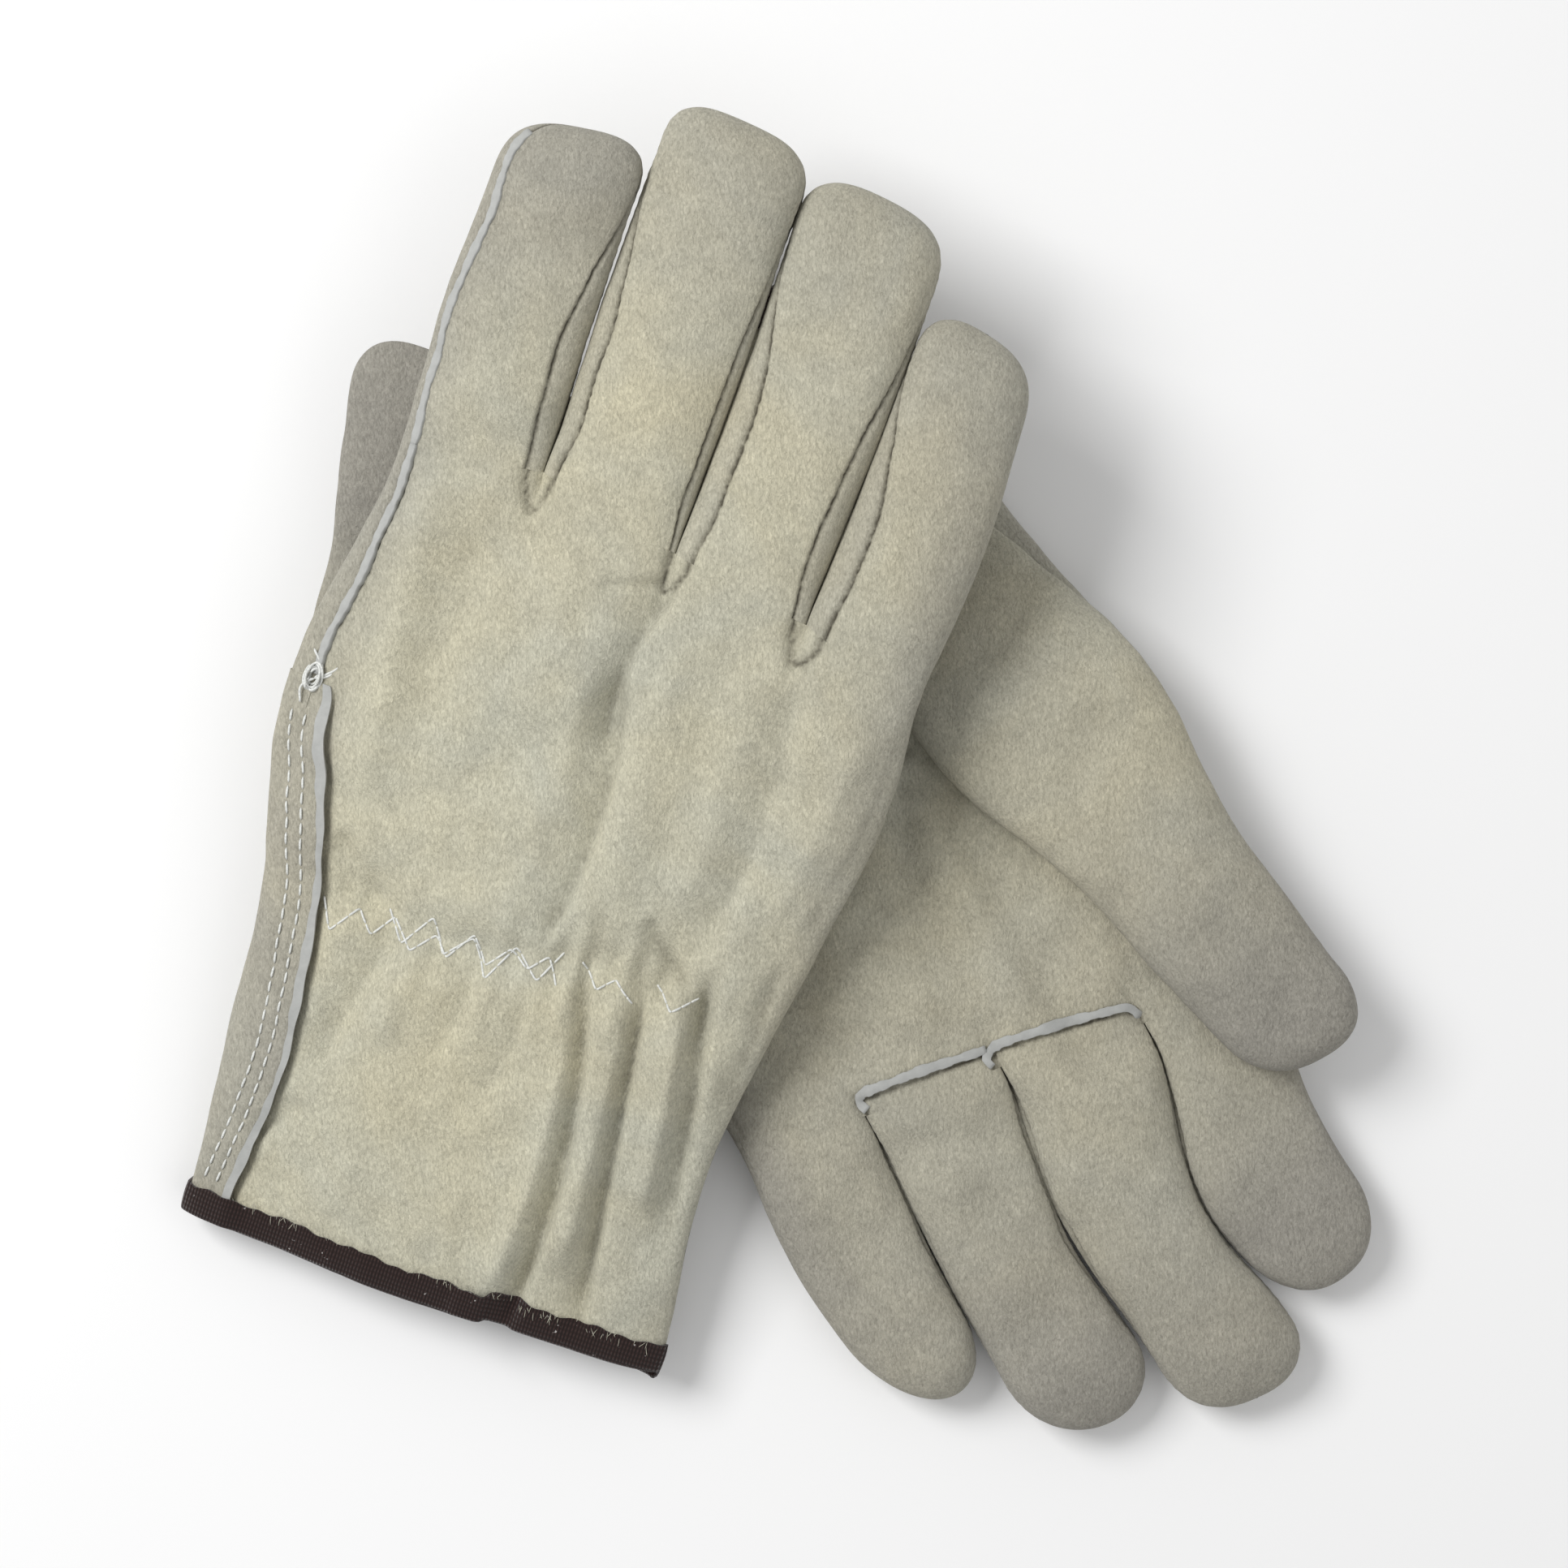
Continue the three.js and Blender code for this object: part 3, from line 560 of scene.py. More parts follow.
def sheet(
    name, hand, points, material, thickness=1.2, seam=None, closed=False, centre=None, lining=None, grey_and_shade=None
):
    """A leather piece from a grid of points in a glove's frame, closed with its lining and cut edges."""
    rows, columns = points.shape[:2]
    faces = grid_faces(rows, columns, closed)
    flat = placed(hand, points).reshape(-1, 3)
    corner = [flat[faces[:, k]] for k in range(4)]
    normal = np.cross(corner[2] - corner[0], corner[3] - corner[1])
    local = points.reshape(-1, 3)
    middle = local[faces].mean(axis=1)
    centre = np.array([np.nan, 0, 0]) if centre is None else centre
    away = middle - np.where(np.isnan(centre), middle, centre)
    turned = np.sum(normal * (away @ AXES[hand][0].T)) < 0
    if turned:
        faces = faces[:, ::-1]
        normal = -normal
    if lining is None:
        smooth_normal = np.zeros_like(flat)
        for k in range(4):
            np.add.at(smooth_normal, faces[:, k], normal)
        smooth_normal /= np.maximum(np.linalg.norm(smooth_normal, axis=1, keepdims=True), 1e-12)
        inner = flat - smooth_normal * thickness * MM
        inner[:, 2] = np.maximum(inner[:, 2], FLOOR_GAP * 2)
    else:
        inner = placed(hand, lining).reshape(-1, 3)
    count = len(flat)
    index = np.arange(count).reshape(rows, columns)
    borders = [index[0], index[-1]] if closed else [index[0], index[:, -1], index[-1][::-1], index[::-1, 0]]
    rims = []
    for k, border in enumerate(borders):
        if closed:
            border = np.append(border, border[0])
            border = border if k == 0 else border[::-1]
        a, b = border[:-1], border[1:]
        rims.append(np.stack([b, a, a + count, b + count], axis=-1))
    rim = np.concatenate(rims)
    if turned:
        rim = rim[:, ::-1]
    everything = np.concatenate([faces, faces[:, ::-1] + count, rim])
    marks = {"seam": seam, "grey_and_shade": grey_and_shade}
    marks = {key: np.tile(np.ravel(value), 2) for key, value in marks.items() if value is not None}
    piece = make_object(name, np.concatenate([flat, inner]), everything.tolist(), material, **marks)
    tidy_shell(piece, len(faces))
    return piece


def tidy_shell(piece, skin_faces):
    """Marks the edges between the skin and the cut edges sharp, and closes the pole at a tip."""
    select_only(piece)
    mesh = piece.data
    shaded = np.zeros(len(mesh.polygons), bool)
    shaded[: 2 * skin_faces] = True
    mesh.polygons.foreach_set("use_smooth", shaded)
    work = bmesh.new()
    work.from_mesh(mesh)
    for edge in work.edges:
        kinds = {face.smooth for face in edge.link_faces}
        edge.smooth = len(kinds) == 1
    for face in work.faces:
        face.smooth = True
    bmesh.ops.remove_doubles(work, verts=work.verts, dist=0.00001)
    bmesh.ops.dissolve_degenerate(work, edges=work.edges, dist=0.000001)
    work.to_mesh(mesh)
    work.free()
    mesh.update()


def select_only(piece):
    for other in bpy.context.selected_objects:
        other.select_set(False)
    piece.select_set(True)
    bpy.context.view_layer.objects.active = piece


def tube_mesh(path, radius, sides=6, taper=False):
    """Vertices and faces of a closed tube along a path, in the path's own units."""
    path = np.asarray(path, float)
    tangent = np.gradient(path, axis=0)
    tangent /= np.maximum(np.linalg.norm(tangent, axis=1, keepdims=True), 1e-12)
    reference = np.array([0.0, 0.0, 1.0])
    side = np.cross(tangent, reference)
    bad = np.linalg.norm(side, axis=1) < 1e-3
    side[bad] = np.cross(tangent[bad], [1.0, 0.0, 0.0])
    side /= np.linalg.norm(side, axis=1, keepdims=True)
    up = np.cross(side, tangent)
    size = np.full(len(path), radius)
    if taper:
        size[0] *= 0.45
        size[-1] *= 0.45
    angle = np.linspace(0, 2 * np.pi, sides, endpoint=False)
    ring = np.cos(angle)[None, :, None] * side[:, None] + np.sin(angle)[None, :, None] * up[:, None]
    vertices = (path[:, None] + ring * size[:, None, None]).reshape(-1, 3)
    faces = grid_faces(len(path), sides, closed=True).tolist()
    last = (len(path) - 1) * sides
    faces.append(list(range(sides))[::-1])
    faces.append([last + k for k in range(sides)])
    return vertices, faces


def tubes(name, hand, paths, radius, material, sides=6, taper=True):
    """One piece made of many short tubes of thread."""
    vertices, faces, count = [], [], 0
    for path in paths:
        v, f = tube_mesh(path, radius, sides, taper)
        vertices.append(v)
        faces.extend([[k + count for k in face] for face in f])
        count += len(v)
    points = placed(hand, np.concatenate(vertices))
    piece = make_object(name, points, faces, material)
    select_only(piece)
    bpy.ops.object.mode_set(mode="EDIT")
    bpy.ops.mesh.select_all(action="SELECT")
    bpy.ops.mesh.normals_make_consistent(inside=False)
    bpy.ops.object.mode_set(mode="OBJECT")
    return piece


# ---------- materials ----------
def node(tree, kind, place, **values):
    made = tree.nodes.new(kind)
    made.location = place
    for key, value in values.items():
        if hasattr(made, key):
            setattr(made, key, value)
        else:
            made.inputs[key.replace("_", " ")].default_value = value
    return made


def new_material(name, roughness, sheen=0.0, sheen_roughness=0.5, specular=0.3):
    material = bpy.data.materials.new(name)
    material.use_nodes = True
    shader = material.node_tree.nodes["Principled BSDF"]
    shader.inputs["Roughness"].default_value = roughness
    shader.inputs["Sheen Weight"].default_value = sheen
    shader.inputs["Sheen Roughness"].default_value = sheen_roughness
    shader.inputs["Specular IOR Level"].default_value = specular
    return material, material.node_tree, shader


def ramp(tree, place, stops):
    made = tree.nodes.new("ShaderNodeValToRGB")
    made.location = place
    elements = made.color_ramp.elements
    while len(elements) < len(stops):
        elements.new(0.5)
    for element, (position, colour) in zip(elements, stops):
        element.position = position
        element.color = (*colour, 1)
    return made


def noise(tree, coordinates, place, scale, detail=4.0, roughness=0.6, distortion=0.0):
    made = node(tree, "ShaderNodeTexNoise", place)
    made.inputs["Scale"].default_value = scale
    made.inputs["Detail"].default_value = detail
    made.inputs["Roughness"].default_value = roughness
    made.inputs["Distortion"].default_value = distortion
    tree.links.new(coordinates, made.inputs["Vector"])
    return made.outputs["Fac"]


def multiply(tree, place, a, b, factor=1.0):
    made = tree.nodes.new("ShaderNodeMix")
    made.location = place
    made.data_type = "RGBA"
    made.blend_type = "MULTIPLY"
    made.inputs["Factor"].default_value = factor
    tree.links.new(a, made.inputs["A"])
    tree.links.new(b, made.inputs["B"])
    return made.outputs["Result"]


def blend_colours(tree, place, factor, a, b):
    made = tree.nodes.new("ShaderNodeMix")
    made.location = place
    made.data_type = "RGBA"
    tree.links.new(factor, made.inputs["Factor"])
    for socket, value in (("A", a), ("B", b)):
        if isinstance(value, tuple):
            made.inputs[socket].default_value = (*value, 1)
        else:
            tree.links.new(value, made.inputs[socket])
    return made.outputs["Result"]


def suede_material(name, warm, cool, grey, seam_and_shade_colour, nap_strength):
    """Split suede: broad patches, brushed streaks, a fine nap, and the grey colour where it's marked so,
    which is partly greyer leather and partly painted shade.
    """
    material, tree, shader = new_material(name, 0.97, sheen=0.10, sheen_roughness=0.6, specular=0.10)
    place = tree.nodes.new("ShaderNodeTexCoord").outputs["Object"]
    patches = noise(tree, place, (-1400, 500), 22, 3, 0.55, 0.5)
    patch_ramp = ramp(tree, (-1180, 500), [(0.34, (0, 0, 0)), (0.68, (1, 1, 1))])
    tree.links.new(patches, patch_ramp.inputs["Fac"])
    ground = blend_colours(tree, (-900, 500), patch_ramp.outputs["Color"], cool, warm)
    # mixes in the grey colour where marked: partly greyer leather, partly painted shade
    grey_and_shade = tree.nodes.new("ShaderNodeAttribute")
    grey_and_shade.attribute_name = "grey_and_shade"
    grey_and_shade.location = (-1180, 260)
    ground = blend_colours(tree, (-700, 400), grey_and_shade.outputs["Fac"], ground, grey)
    brushed = noise(tree, place, (-1400, 60), 120, 6, 0.72, 1.2)
    brushed_ramp = ramp(tree, (-1180, 60), [(0.30, (0.90, 0.90, 0.90)), (0.70, (1.06, 1.06, 1.05))])
    tree.links.new(brushed, brushed_ramp.inputs["Fac"])
    colour = multiply(tree, (-500, 300), ground, brushed_ramp.outputs["Color"])
    lie = tree.nodes.new("ShaderNodeMapping")
    lie.location = (-1600, -200)
    lie.inputs["Rotation"].default_value = (0, 0, 0.9)
    lie.inputs["Scale"].default_value = (1.0, 0.45, 1.0)
    tree.links.new(place, lie.inputs["Vector"])
    fibres = noise(tree, lie.outputs["Vector"], (-1400, -200), 1900, 4, 0.75, 0.6)
    fibre_ramp = ramp(tree, (-1180, -200), [(0.30, (0.66, 0.66, 0.65)), (0.70, (1.26, 1.26, 1.26))])
    tree.links.new(fibres, fibre_ramp.inputs["Fac"])
    colour = multiply(tree, (-300, 300), colour, fibre_ramp.outputs["Color"])
    # darkens towards the seams' colour where marked: dark seam lines with painted shade in their grooves,
    # painted shade in sharp creases and a painted shadow along the lap's cut edge
    seam = tree.nodes.new("ShaderNodeAttribute")
    seam.attribute_name = "seam"
    seam.location = (-500, 0)
    broken = noise(tree, place, (-1400, -460), 420, 2, 0.6)
    broken_ramp = ramp(tree, (-1180, -460), [(0.34, (0.35, 0.35, 0.35)), (0.56, (1, 1, 1))])
    tree.links.new(broken, broken_ramp.inputs["Fac"])
    depth = tree.nodes.new("ShaderNodeMath")
    depth.operation = "MULTIPLY"
    tree.links.new(seam.outputs["Fac"], depth.inputs[0])
    tree.links.new(broken_ramp.outputs["Color"], depth.inputs[1])
    colour = blend_colours(tree, (-120, 200), depth.outputs["Value"], colour, seam_and_shade_colour)
    tree.links.new(colour, shader.inputs["Base Color"])
    nap = tree.nodes.new("ShaderNodeBump")
    nap.location = (-300, -200)
    nap.inputs["Strength"].default_value = nap_strength
    nap.inputs["Distance"].default_value = 0.0007
    tree.links.new(fibres, nap.inputs["Height"])
    soft = tree.nodes.new("ShaderNodeBump")
    soft.location = (-120, -200)
    soft.inputs["Strength"].default_value = 0.35
    soft.inputs["Distance"].default_value = 0.0012
    tree.links.new(brushed, soft.inputs["Height"])
    tree.links.new(nap.outputs["Normal"], soft.inputs["Normal"])
    tree.links.new(soft.outputs["Normal"], shader.inputs["Normal"])
    return material


def welt_material(name, colour):
    material, tree, shader = new_material(name, 0.7, specular=0.3)
    place = tree.nodes.new("ShaderNodeTexCoord").outputs["Object"]
    grain = noise(tree, place, (-900, 100), 500, 5, 0.6)
    tint = ramp(tree, (-600, 100), [(0.3, tuple(c * 0.86 for c in colour)), (0.7, colour)])
    tree.links.new(grain, tint.inputs["Fac"])
    tree.links.new(tint.outputs["Color"], shader.inputs["Base Color"])
    bump = tree.nodes.new("ShaderNodeBump")
    bump.inputs["Strength"].default_value = 0.3
    bump.inputs["Distance"].default_value = 0.0004
    tree.links.new(grain, bump.inputs["Height"])
    tree.links.new(bump.outputs["Normal"], shader.inputs["Normal"])
    return material


def knit_material(name, colour, lint):
    """A knitted tape: fine ribs round the cuff, with specks of lint."""
    material, tree, shader = new_material(name, 0.92, sheen=0.25, sheen_roughness=0.45, specular=0.2)
    uv = tree.nodes.new("ShaderNodeUVMap")
    uv.uv_map = "knit"
    place = tree.nodes.new("ShaderNodeTexCoord").outputs["Object"]
    waves = node(tree, "ShaderNodeTexWave", (-900, 0), wave_type="BANDS", bands_direction="X")
    waves.inputs["Scale"].default_value = 420
    waves.inputs["Distortion"].default_value = 1.4
    waves.inputs["Detail"].default_value = 2
    rows = node(tree, "ShaderNodeTexWave", (-900, -300), wave_type="BANDS", bands_direction="Y")
    rows.inputs["Scale"].default_value = 300
    rows.inputs["Distortion"].default_value = 1.0
    for wave in (waves, rows):
        tree.links.new(uv.outputs["UV"], wave.inputs["Vector"])
    weave = multiply(tree, (-650, -100), waves.outputs["Color"], rows.outputs["Color"], 0.7)
    dark, light = (tuple(c * share for c in colour) for share in (0.45, 1.5))
    tint = ramp(tree, (-450, 0), [(0.0, dark), (1.0, light)])
    tree.links.new(weave, tint.inputs["Fac"])
    specks = noise(tree, place, (-900, 300), 900, 2, 0.5)
    speck_ramp = ramp(tree, (-650, 300), [(0.72, (0, 0, 0)), (0.78, (0.7, 0.7, 0.7))])
    tree.links.new(specks, speck_ramp.inputs["Fac"])
    result = blend_colours(tree, (-200, 100), speck_ramp.outputs["Color"], tint.outputs["Color"], lint)
    tree.links.new(result, shader.inputs["Base Color"])
    bump = tree.nodes.new("ShaderNodeBump")
    bump.inputs["Strength"].default_value = 0.8
    bump.inputs["Distance"].default_value = 0.0004
    tree.links.new(weave, bump.inputs["Height"])
    tree.links.new(bump.outputs["Normal"], shader.inputs["Normal"])
    return material


def thread_material(name, colour):
    material, tree, shader = new_material(name, 0.6, sheen=0.3, sheen_roughness=0.4, specular=0.35)
    place = tree.nodes.new("ShaderNodeTexCoord").outputs["Object"]
    twist = noise(tree, place, (-700, 0), 2500, 2, 0.5)
    tint = ramp(tree, (-450, 0), [(0.3, tuple(c * 0.72 for c in colour)), (0.65, colour)])
    tree.links.new(twist, tint.inputs["Fac"])
    tree.links.new(tint.outputs["Color"], shader.inputs["Base Color"])
    return material


MATERIALS = {}


def material(name):
    if not MATERIALS:
        leather = bpy.context.scene.glove_leather
        trim = bpy.context.scene.glove_trim
        seam = tuple(leather.seam_and_shade_colour)
        colours = [tuple(c) for c in (leather.warm_colour, leather.cool_colour, leather.grey_and_shade_colour)]
        MATERIALS["suede"] = suede_material("Split suede", *colours, seam, leather.nap)
        MATERIALS["welt"] = welt_material("Welt leather", tuple(trim.welt_colour))
        MATERIALS["knit"] = knit_material("Knitted binding", tuple(trim.binding_colour), (0.55, 0.52, 0.5))
        MATERIALS["thread"] = thread_material("White thread", tuple(trim.thread_colour))
        MATERIALS["fibre"] = thread_material("Leather fibre", (0.5, 0.48, 0.38))
        MATERIALS["elastic"] = thread_material("Woven elastic", (0.62, 0.6, 0.55))
    return MATERIALS[name]


# ---------- hand pieces ----------
# a dark seam line, with painted shade falling off into the groove beside it
def seam_mark(distance):
    return 0.75 * np.exp(-((distance / 0.42) ** 2)) + 0.2 * np.exp(-((distance / 1.5) ** 2))


def groove(distance, depth=1.1, width=1.2):
    return depth * np.exp(-((distance / width) ** 2))


def hand_ends(step):
    return np.linspace(0.012, 1.0, int(174 / step))


def arc_distance(t, v, edge):
    """Roughly how far along the section a point is from the seam at angle edge, in millimetres."""
    return np.linalg.norm(hand_base(t, v) - hand_base(np.full_like(t, edge), v), axis=-1)


def crotch_marks(x, y):
    """Distance to the U seams where the strips between the fingers end in the hand's back."""
    best = np.full(np.shape(x), 99.0)
    for k in (1, 2, 3):
        left = seam_spread(k - 1, FINGERS[k - 1][7])
        right = seam_spread(k, FINGERS[k][6])
        knots = [(-left, 0.4), (-left * 0.8, -3.5), (-left * 0.3, -7.5), (0.2, -8.6)]
        knots += [(right * 0.5, -7.0), (right * 0.9, -3.0), (right, 0.4)]
        knots = np.array(knots) + (ROOT_X[k], 0)
        knots[:, 1] += np.interp(knots[:, 0], ROOT_X, ROOT_Y)
        for top, bottom in zip(knots[:-1], knots[1:]):
            d = bottom - top
            s = np.clip(((x - top[0]) * d[0] + (y - top[1]) * d[1]) / (d @ d), 0, 1)
            best = np.minimum(best, np.hypot(x - top[0] - s * d[0], y - top[1] - s * d[1]))
    return best


def welt_turn(v):
    return np.interp(v, *WELT_TURN)


def hand_panel(hand, part, step):
    u, v = np.meshgrid(np.linspace(0, 1, int(150 / step)), hand_ends(step))
    welt = welt_turn(v)
    first, last = (BACK_WRAP, welt) if part == "back" else (welt, 360 + BACK_WRAP)
    t = turn_at(mix(around(first), around(last), u))
    base = hand_base(t, v)
    side = arc_distance(t, v, 0 * t + BACK_WRAP)
    side_mark = 0.3 * seam_mark(side)
    seam = arc_distance(t, v, welt)
    seam = np.where(base[..., 1] < KNOT_Y - 1, 99, seam)
    pucker = 0.2 * np.sin(base[..., 1] * 2.0) * np.exp(-seam / 2.0)
    sink = -groove(seam) - 0.4 * groove(side) + pucker
    mark = np.maximum(seam_mark(seam), side_mark)
    fade = 1 - smooth(v, 0.97, 1.0)
    if part == "back":
        over = lap_edge(base[..., 1]) - base[..., 0]
        below = 1 - smooth(base[..., 1], KNOT_Y - 3, KNOT_Y + 1)
        sink = sink * fade - 1.6 * smooth(over, -2.5, 2.0) * below
        crotch = crotch_marks(base[..., 0], base[..., 1])
        crotch = np.where(base[..., 1] > 150, crotch, 99)
        sink = sink - groove(crotch, 0.8, 0.9)
        # painted shade along the sharp furrows of the back, put into the seam mark
        sharp = [fold for fold in BACK_FOLDS[hand] if fold[3] < -1.6 and fold[4] <= 2]
        shaded_creases = [(start, end, bow, 1.0, 0.8, 1.8) for start, end, bow, *_ in sharp]
        mark = np.maximum(mark, seam_mark(crotch))
        mark = np.maximum(mark, 0.3 * np.clip(fold_height(shaded_creases, base[..., 0], base[..., 1]), 0, 1))
        mark = np.where((over > 0) & (below > 0.5), 0, mark)
    else:
        gunn = gunn_distance(base[..., 0], base[..., 1] - 1.35)
        sink = (sink - groove(gunn, 0.7, 1.3)) * fade
        mark = np.maximum(mark, seam_mark(gunn))
    points = hand_skin(hand, t, v, sink)
    grey_and_shade = hand_grey_and_shade(hand, part, points)
    return sheet(f"{hand}_{part}", hand, points, material("suede"), seam=mark, grey_and_shade=grey_and_shade)


def hand_grey_and_shade(hand, part, points):
    """How much of the grey colour is mixed in, partly greyer leather and partly painted shade: the palms and
    the left glove get more than the right glove's back, and it grows towards the sides, the fingertips and
    the little finger's side.
    """
    x, y = points[..., 0], points[..., 1]
    base = 0.05 if (hand, part) == ("right", "back") else 0.3
    fingers = np.interp(x, [-46, -14, 18, 47], TIP_GREY_AND_SHADE[hand])
    side = 0.35 * smooth(np.abs(x), 46, 60)
    return base + side + 0.3 * fingers * smooth(y, 120, 176) + 0.12 * smooth(x, 10, 50)


def gunn_distance(x, y):
    """Distance in plan to the two runs of the gunn cut's seam."""
    best = np.full(np.shape(x), 99.0)
    for corners in GUNN_CUT:
        path = smooth_path(np.array(corners, float), 50)
        for a, b in zip(path[:-1], path[1:]):
            d = b - a
            s = np.clip(((x - a[0]) * d[0] + (y - a[1]) * d[1]) / (d @ d), 0, 1)
            best = np.minimum(best, np.hypot(x - a[0] - s * d[0], y - a[1] - s * d[1]))
    return best


def lap_edge_turn(y):
    edge = lap_edge(y)
    side = -flowing(y, THUMB_SIDE)
    return np.degrees(np.pi - np.arccos(np.clip(edge / side, 0, 1) ** 2.5))


def lap_width(y):
    """The width of the overlap round the glove's side, in millimetres."""
    return around(LAP_START) - around(lap_edge_turn(y))


def lap_skin(hand, s, y):
    """The palm's overlap on the back: s runs from its folded side (0) to its cut edge (1)."""
    t = turn_at(mix(around(LAP_START), around(lap_edge_turn(y)), s))
    share = signed_power(np.cos(np.radians(t)), 0.4)
    v = y / np.interp(share * ROOT_X[-1], ROOT_X, ROOT_Y)
    lift = 0.05 + 1.5 * smooth(s, 0.0, 0.4) * (1 - 0.75 * smooth(y, 104, KNOT_Y - 1))
    return hand_skin(hand, t, v, lift)


def lap(hand, step):
    ys = np.linspace(1.5, KNOT_Y, int(KNOT_Y / step))
    ss = np.linspace(0, 1, 30)
    s, y = np.meshgrid(ss, ys)
    points = lap_skin(hand, s, y)
    away = (1 - s) * lap_width(y)
    # a painted shadow along the lap's cut edge, under its edge strip
    mark = 0.35 * np.exp(-((away / 0.6) ** 2))
    points[..., 2] -= 0.4 * np.exp(-((away / 0.8) ** 2))
    for row in (4.8, 8.3):
        points[..., 2] -= 0.35 * np.exp(-(((away - row) / 0.7) ** 2))
    # the lap gets a steady share of the grey colour, partly greyer leather and partly painted shade
    grey_and_shade = 0.62 + 0.1 * SAG[hand](points)
    centre = np.array([0, np.nan, 0])
    suede = material("suede")
    return sheet(f"{hand}_lap", hand, points, suede, thickness=1.1, seam=mark, centre=centre, grey_and_shade=grey_and_shade)


def lap_edge_strip(hand):
    """The smooth cut edge of the lap, a little proud of it."""
    ys = np.linspace(1.5, KNOT_Y, 200)
    u, y = np.meshgrid(np.linspace(0, 1, 5), ys)
    wide = 1.7 + 0.5 * np.sin(y * 0.13) + 0.15 * np.sin(y * 0.9)
    points = lap_skin(hand, 1 - wide * (1 - u) / lap_width(y), y)
    points[..., 2] += 0.22
    points[..., 0] += 0.25 * u + 0.2 * np.sin(y * 0.5) * u
    centre = np.array([0, np.nan, 0])
    return sheet(f"{hand}_lap_edge", hand, points, material("welt"), thickness=0.5, centre=centre)


def welt_strip(name, hand, centres, outward, across, width, thickness):
    """A narrow strip that stands out of a seam."""
    profile = ((-0.5, -0.6), (-0.5, 0.85), (-0.42, 1.0), (0.42, 1.0), (0.5, 0.85), (0.5, -0.6))
    along = centres.sum(axis=1)[:, None]
    wavy = 1 + 0.14 * np.sin(along * 0.55) + 0.12 * np.sin(along * 1.7) + 0.06 * np.sin(along * 5.1)
    rows = [centres + across * (a * thickness * wavy) + outward * (b * width) for a, b in profile]
    points = np.stack(rows, axis=1)
    world = placed(hand, points)
    n = len(centres)
    faces = grid_faces(n, len(profile), closed=True).tolist()
    faces.append(list(range(len(profile)))[::-1])
    faces.append([(n - 1) * len(profile) + k for k in range(len(profile))])
    piece = make_object(name, world.reshape(-1, 3), faces, material("welt"))
    select_only(piece)
    bpy.ops.object.mode_set(mode="EDIT")
    bpy.ops.mesh.select_all(action="SELECT")
    bpy.ops.mesh.normals_make_consistent(inside=False)
    bpy.ops.object.mode_set(mode="OBJECT")
    return piece


def unit(vectors):
    return vectors / np.maximum(np.linalg.norm(vectors, axis=-1, keepdims=True), 1e-9)


def welt_frames(path):
    """Directions out of the skin and across the strip along the thumb-side seam."""
    tangent = unit(np.gradient(path, axis=0))
    outward = unit(np.stack([-0.55 + 0 * path[:, 0], 0 * path[:, 0], 0.83 + 0 * path[:, 0]], axis=1))
    across = unit(np.cross(tangent, outward))
    return outward, across


def smooth_path(corners, count):
    """A rounded path through plan points."""
    length = np.concatenate([[0], np.cumsum(np.hypot(*np.diff(corners, axis=0).T))])
    at = np.linspace(0, length[-1], count)
    path = np.stack([np.interp(at, length, corners[:, k]) for k in (0, 1)], axis=1)
    for _ in range(4):
        path[1:-1] = (path[:-2] + 2 * path[1:-1] + path[2:]) / 4
    return path


def palm_point(hand, x, y, lift):
    """Points of the palm's skin under plan positions."""
    v = y / np.interp(x, ROOT_X, ROOT_Y)
    half = hand_half(x, y)
    share = np.clip(x / half, -0.999, 0.999)
    t = 360 - np.degrees(np.arccos(signed_power(share, 2.5)))
    return hand_skin(hand, t, v, lift)


def finger_blend(piece, hand, i):
    mid_x, mid_y = finger_frame(i)[:2]
    start = placed(hand, np.array([[mid_x, mid_y, 0.0]]))[0]
    end = placed(hand, np.array([[mid_x, mid_y + 16.0, 0.0]]))[0]
    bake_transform(piece)


def thumb_blend(piece, hand):
    start = placed(hand, np.array([[-41.0, 94.0, -8.0]]))[0]
    end = placed(hand, np.array([[-43.0, 114.0, -8.0]]))[0]
    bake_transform(piece)


# ---------- settings ----------
class GloveLeather(bpy.types.PropertyGroup):
    """Sizes and colours of the leather"""

    step: bpy.props.FloatProperty(
        name="Mesh step", description="Spacing of the leather's points, in millimetres",
        default=0.95, min=0.6, max=4,
    )
    nap: bpy.props.FloatProperty(
        name="Nap", description="Strength of the suede's nap", default=0.55, min=0, max=1,
        subtype="FACTOR",
    )
    warm_colour: bpy.props.FloatVectorProperty(
        name="Warm", description="The suede's yellowish patches", size=3, subtype="COLOR",
        default=(0.57, 0.53, 0.385), min=0, max=1,
    )
    cool_colour: bpy.props.FloatVectorProperty(
        name="Cool", description="The suede's greyish patches", size=3, subtype="COLOR",
        default=(0.52, 0.51, 0.415), min=0, max=1,
    )
    # mixed in where marked: partly greyer leather, partly painted shade
    grey_and_shade_colour: bpy.props.FloatVectorProperty(
        name="Grey", description="The suede's greyer parts", size=3, subtype="COLOR",
        default=(0.30, 0.285, 0.25), min=0, max=1,
    )
    # the dark of the seam lines, also used as painted shade in seam grooves and creases and as a painted
    # shadow along the lap's cut edge
    seam_and_shade_colour: bpy.props.FloatVectorProperty(
        name="Seams", description="Down in the seams", size=3, subtype="COLOR",
        default=(0.06, 0.052, 0.035), min=0, max=1,
    )


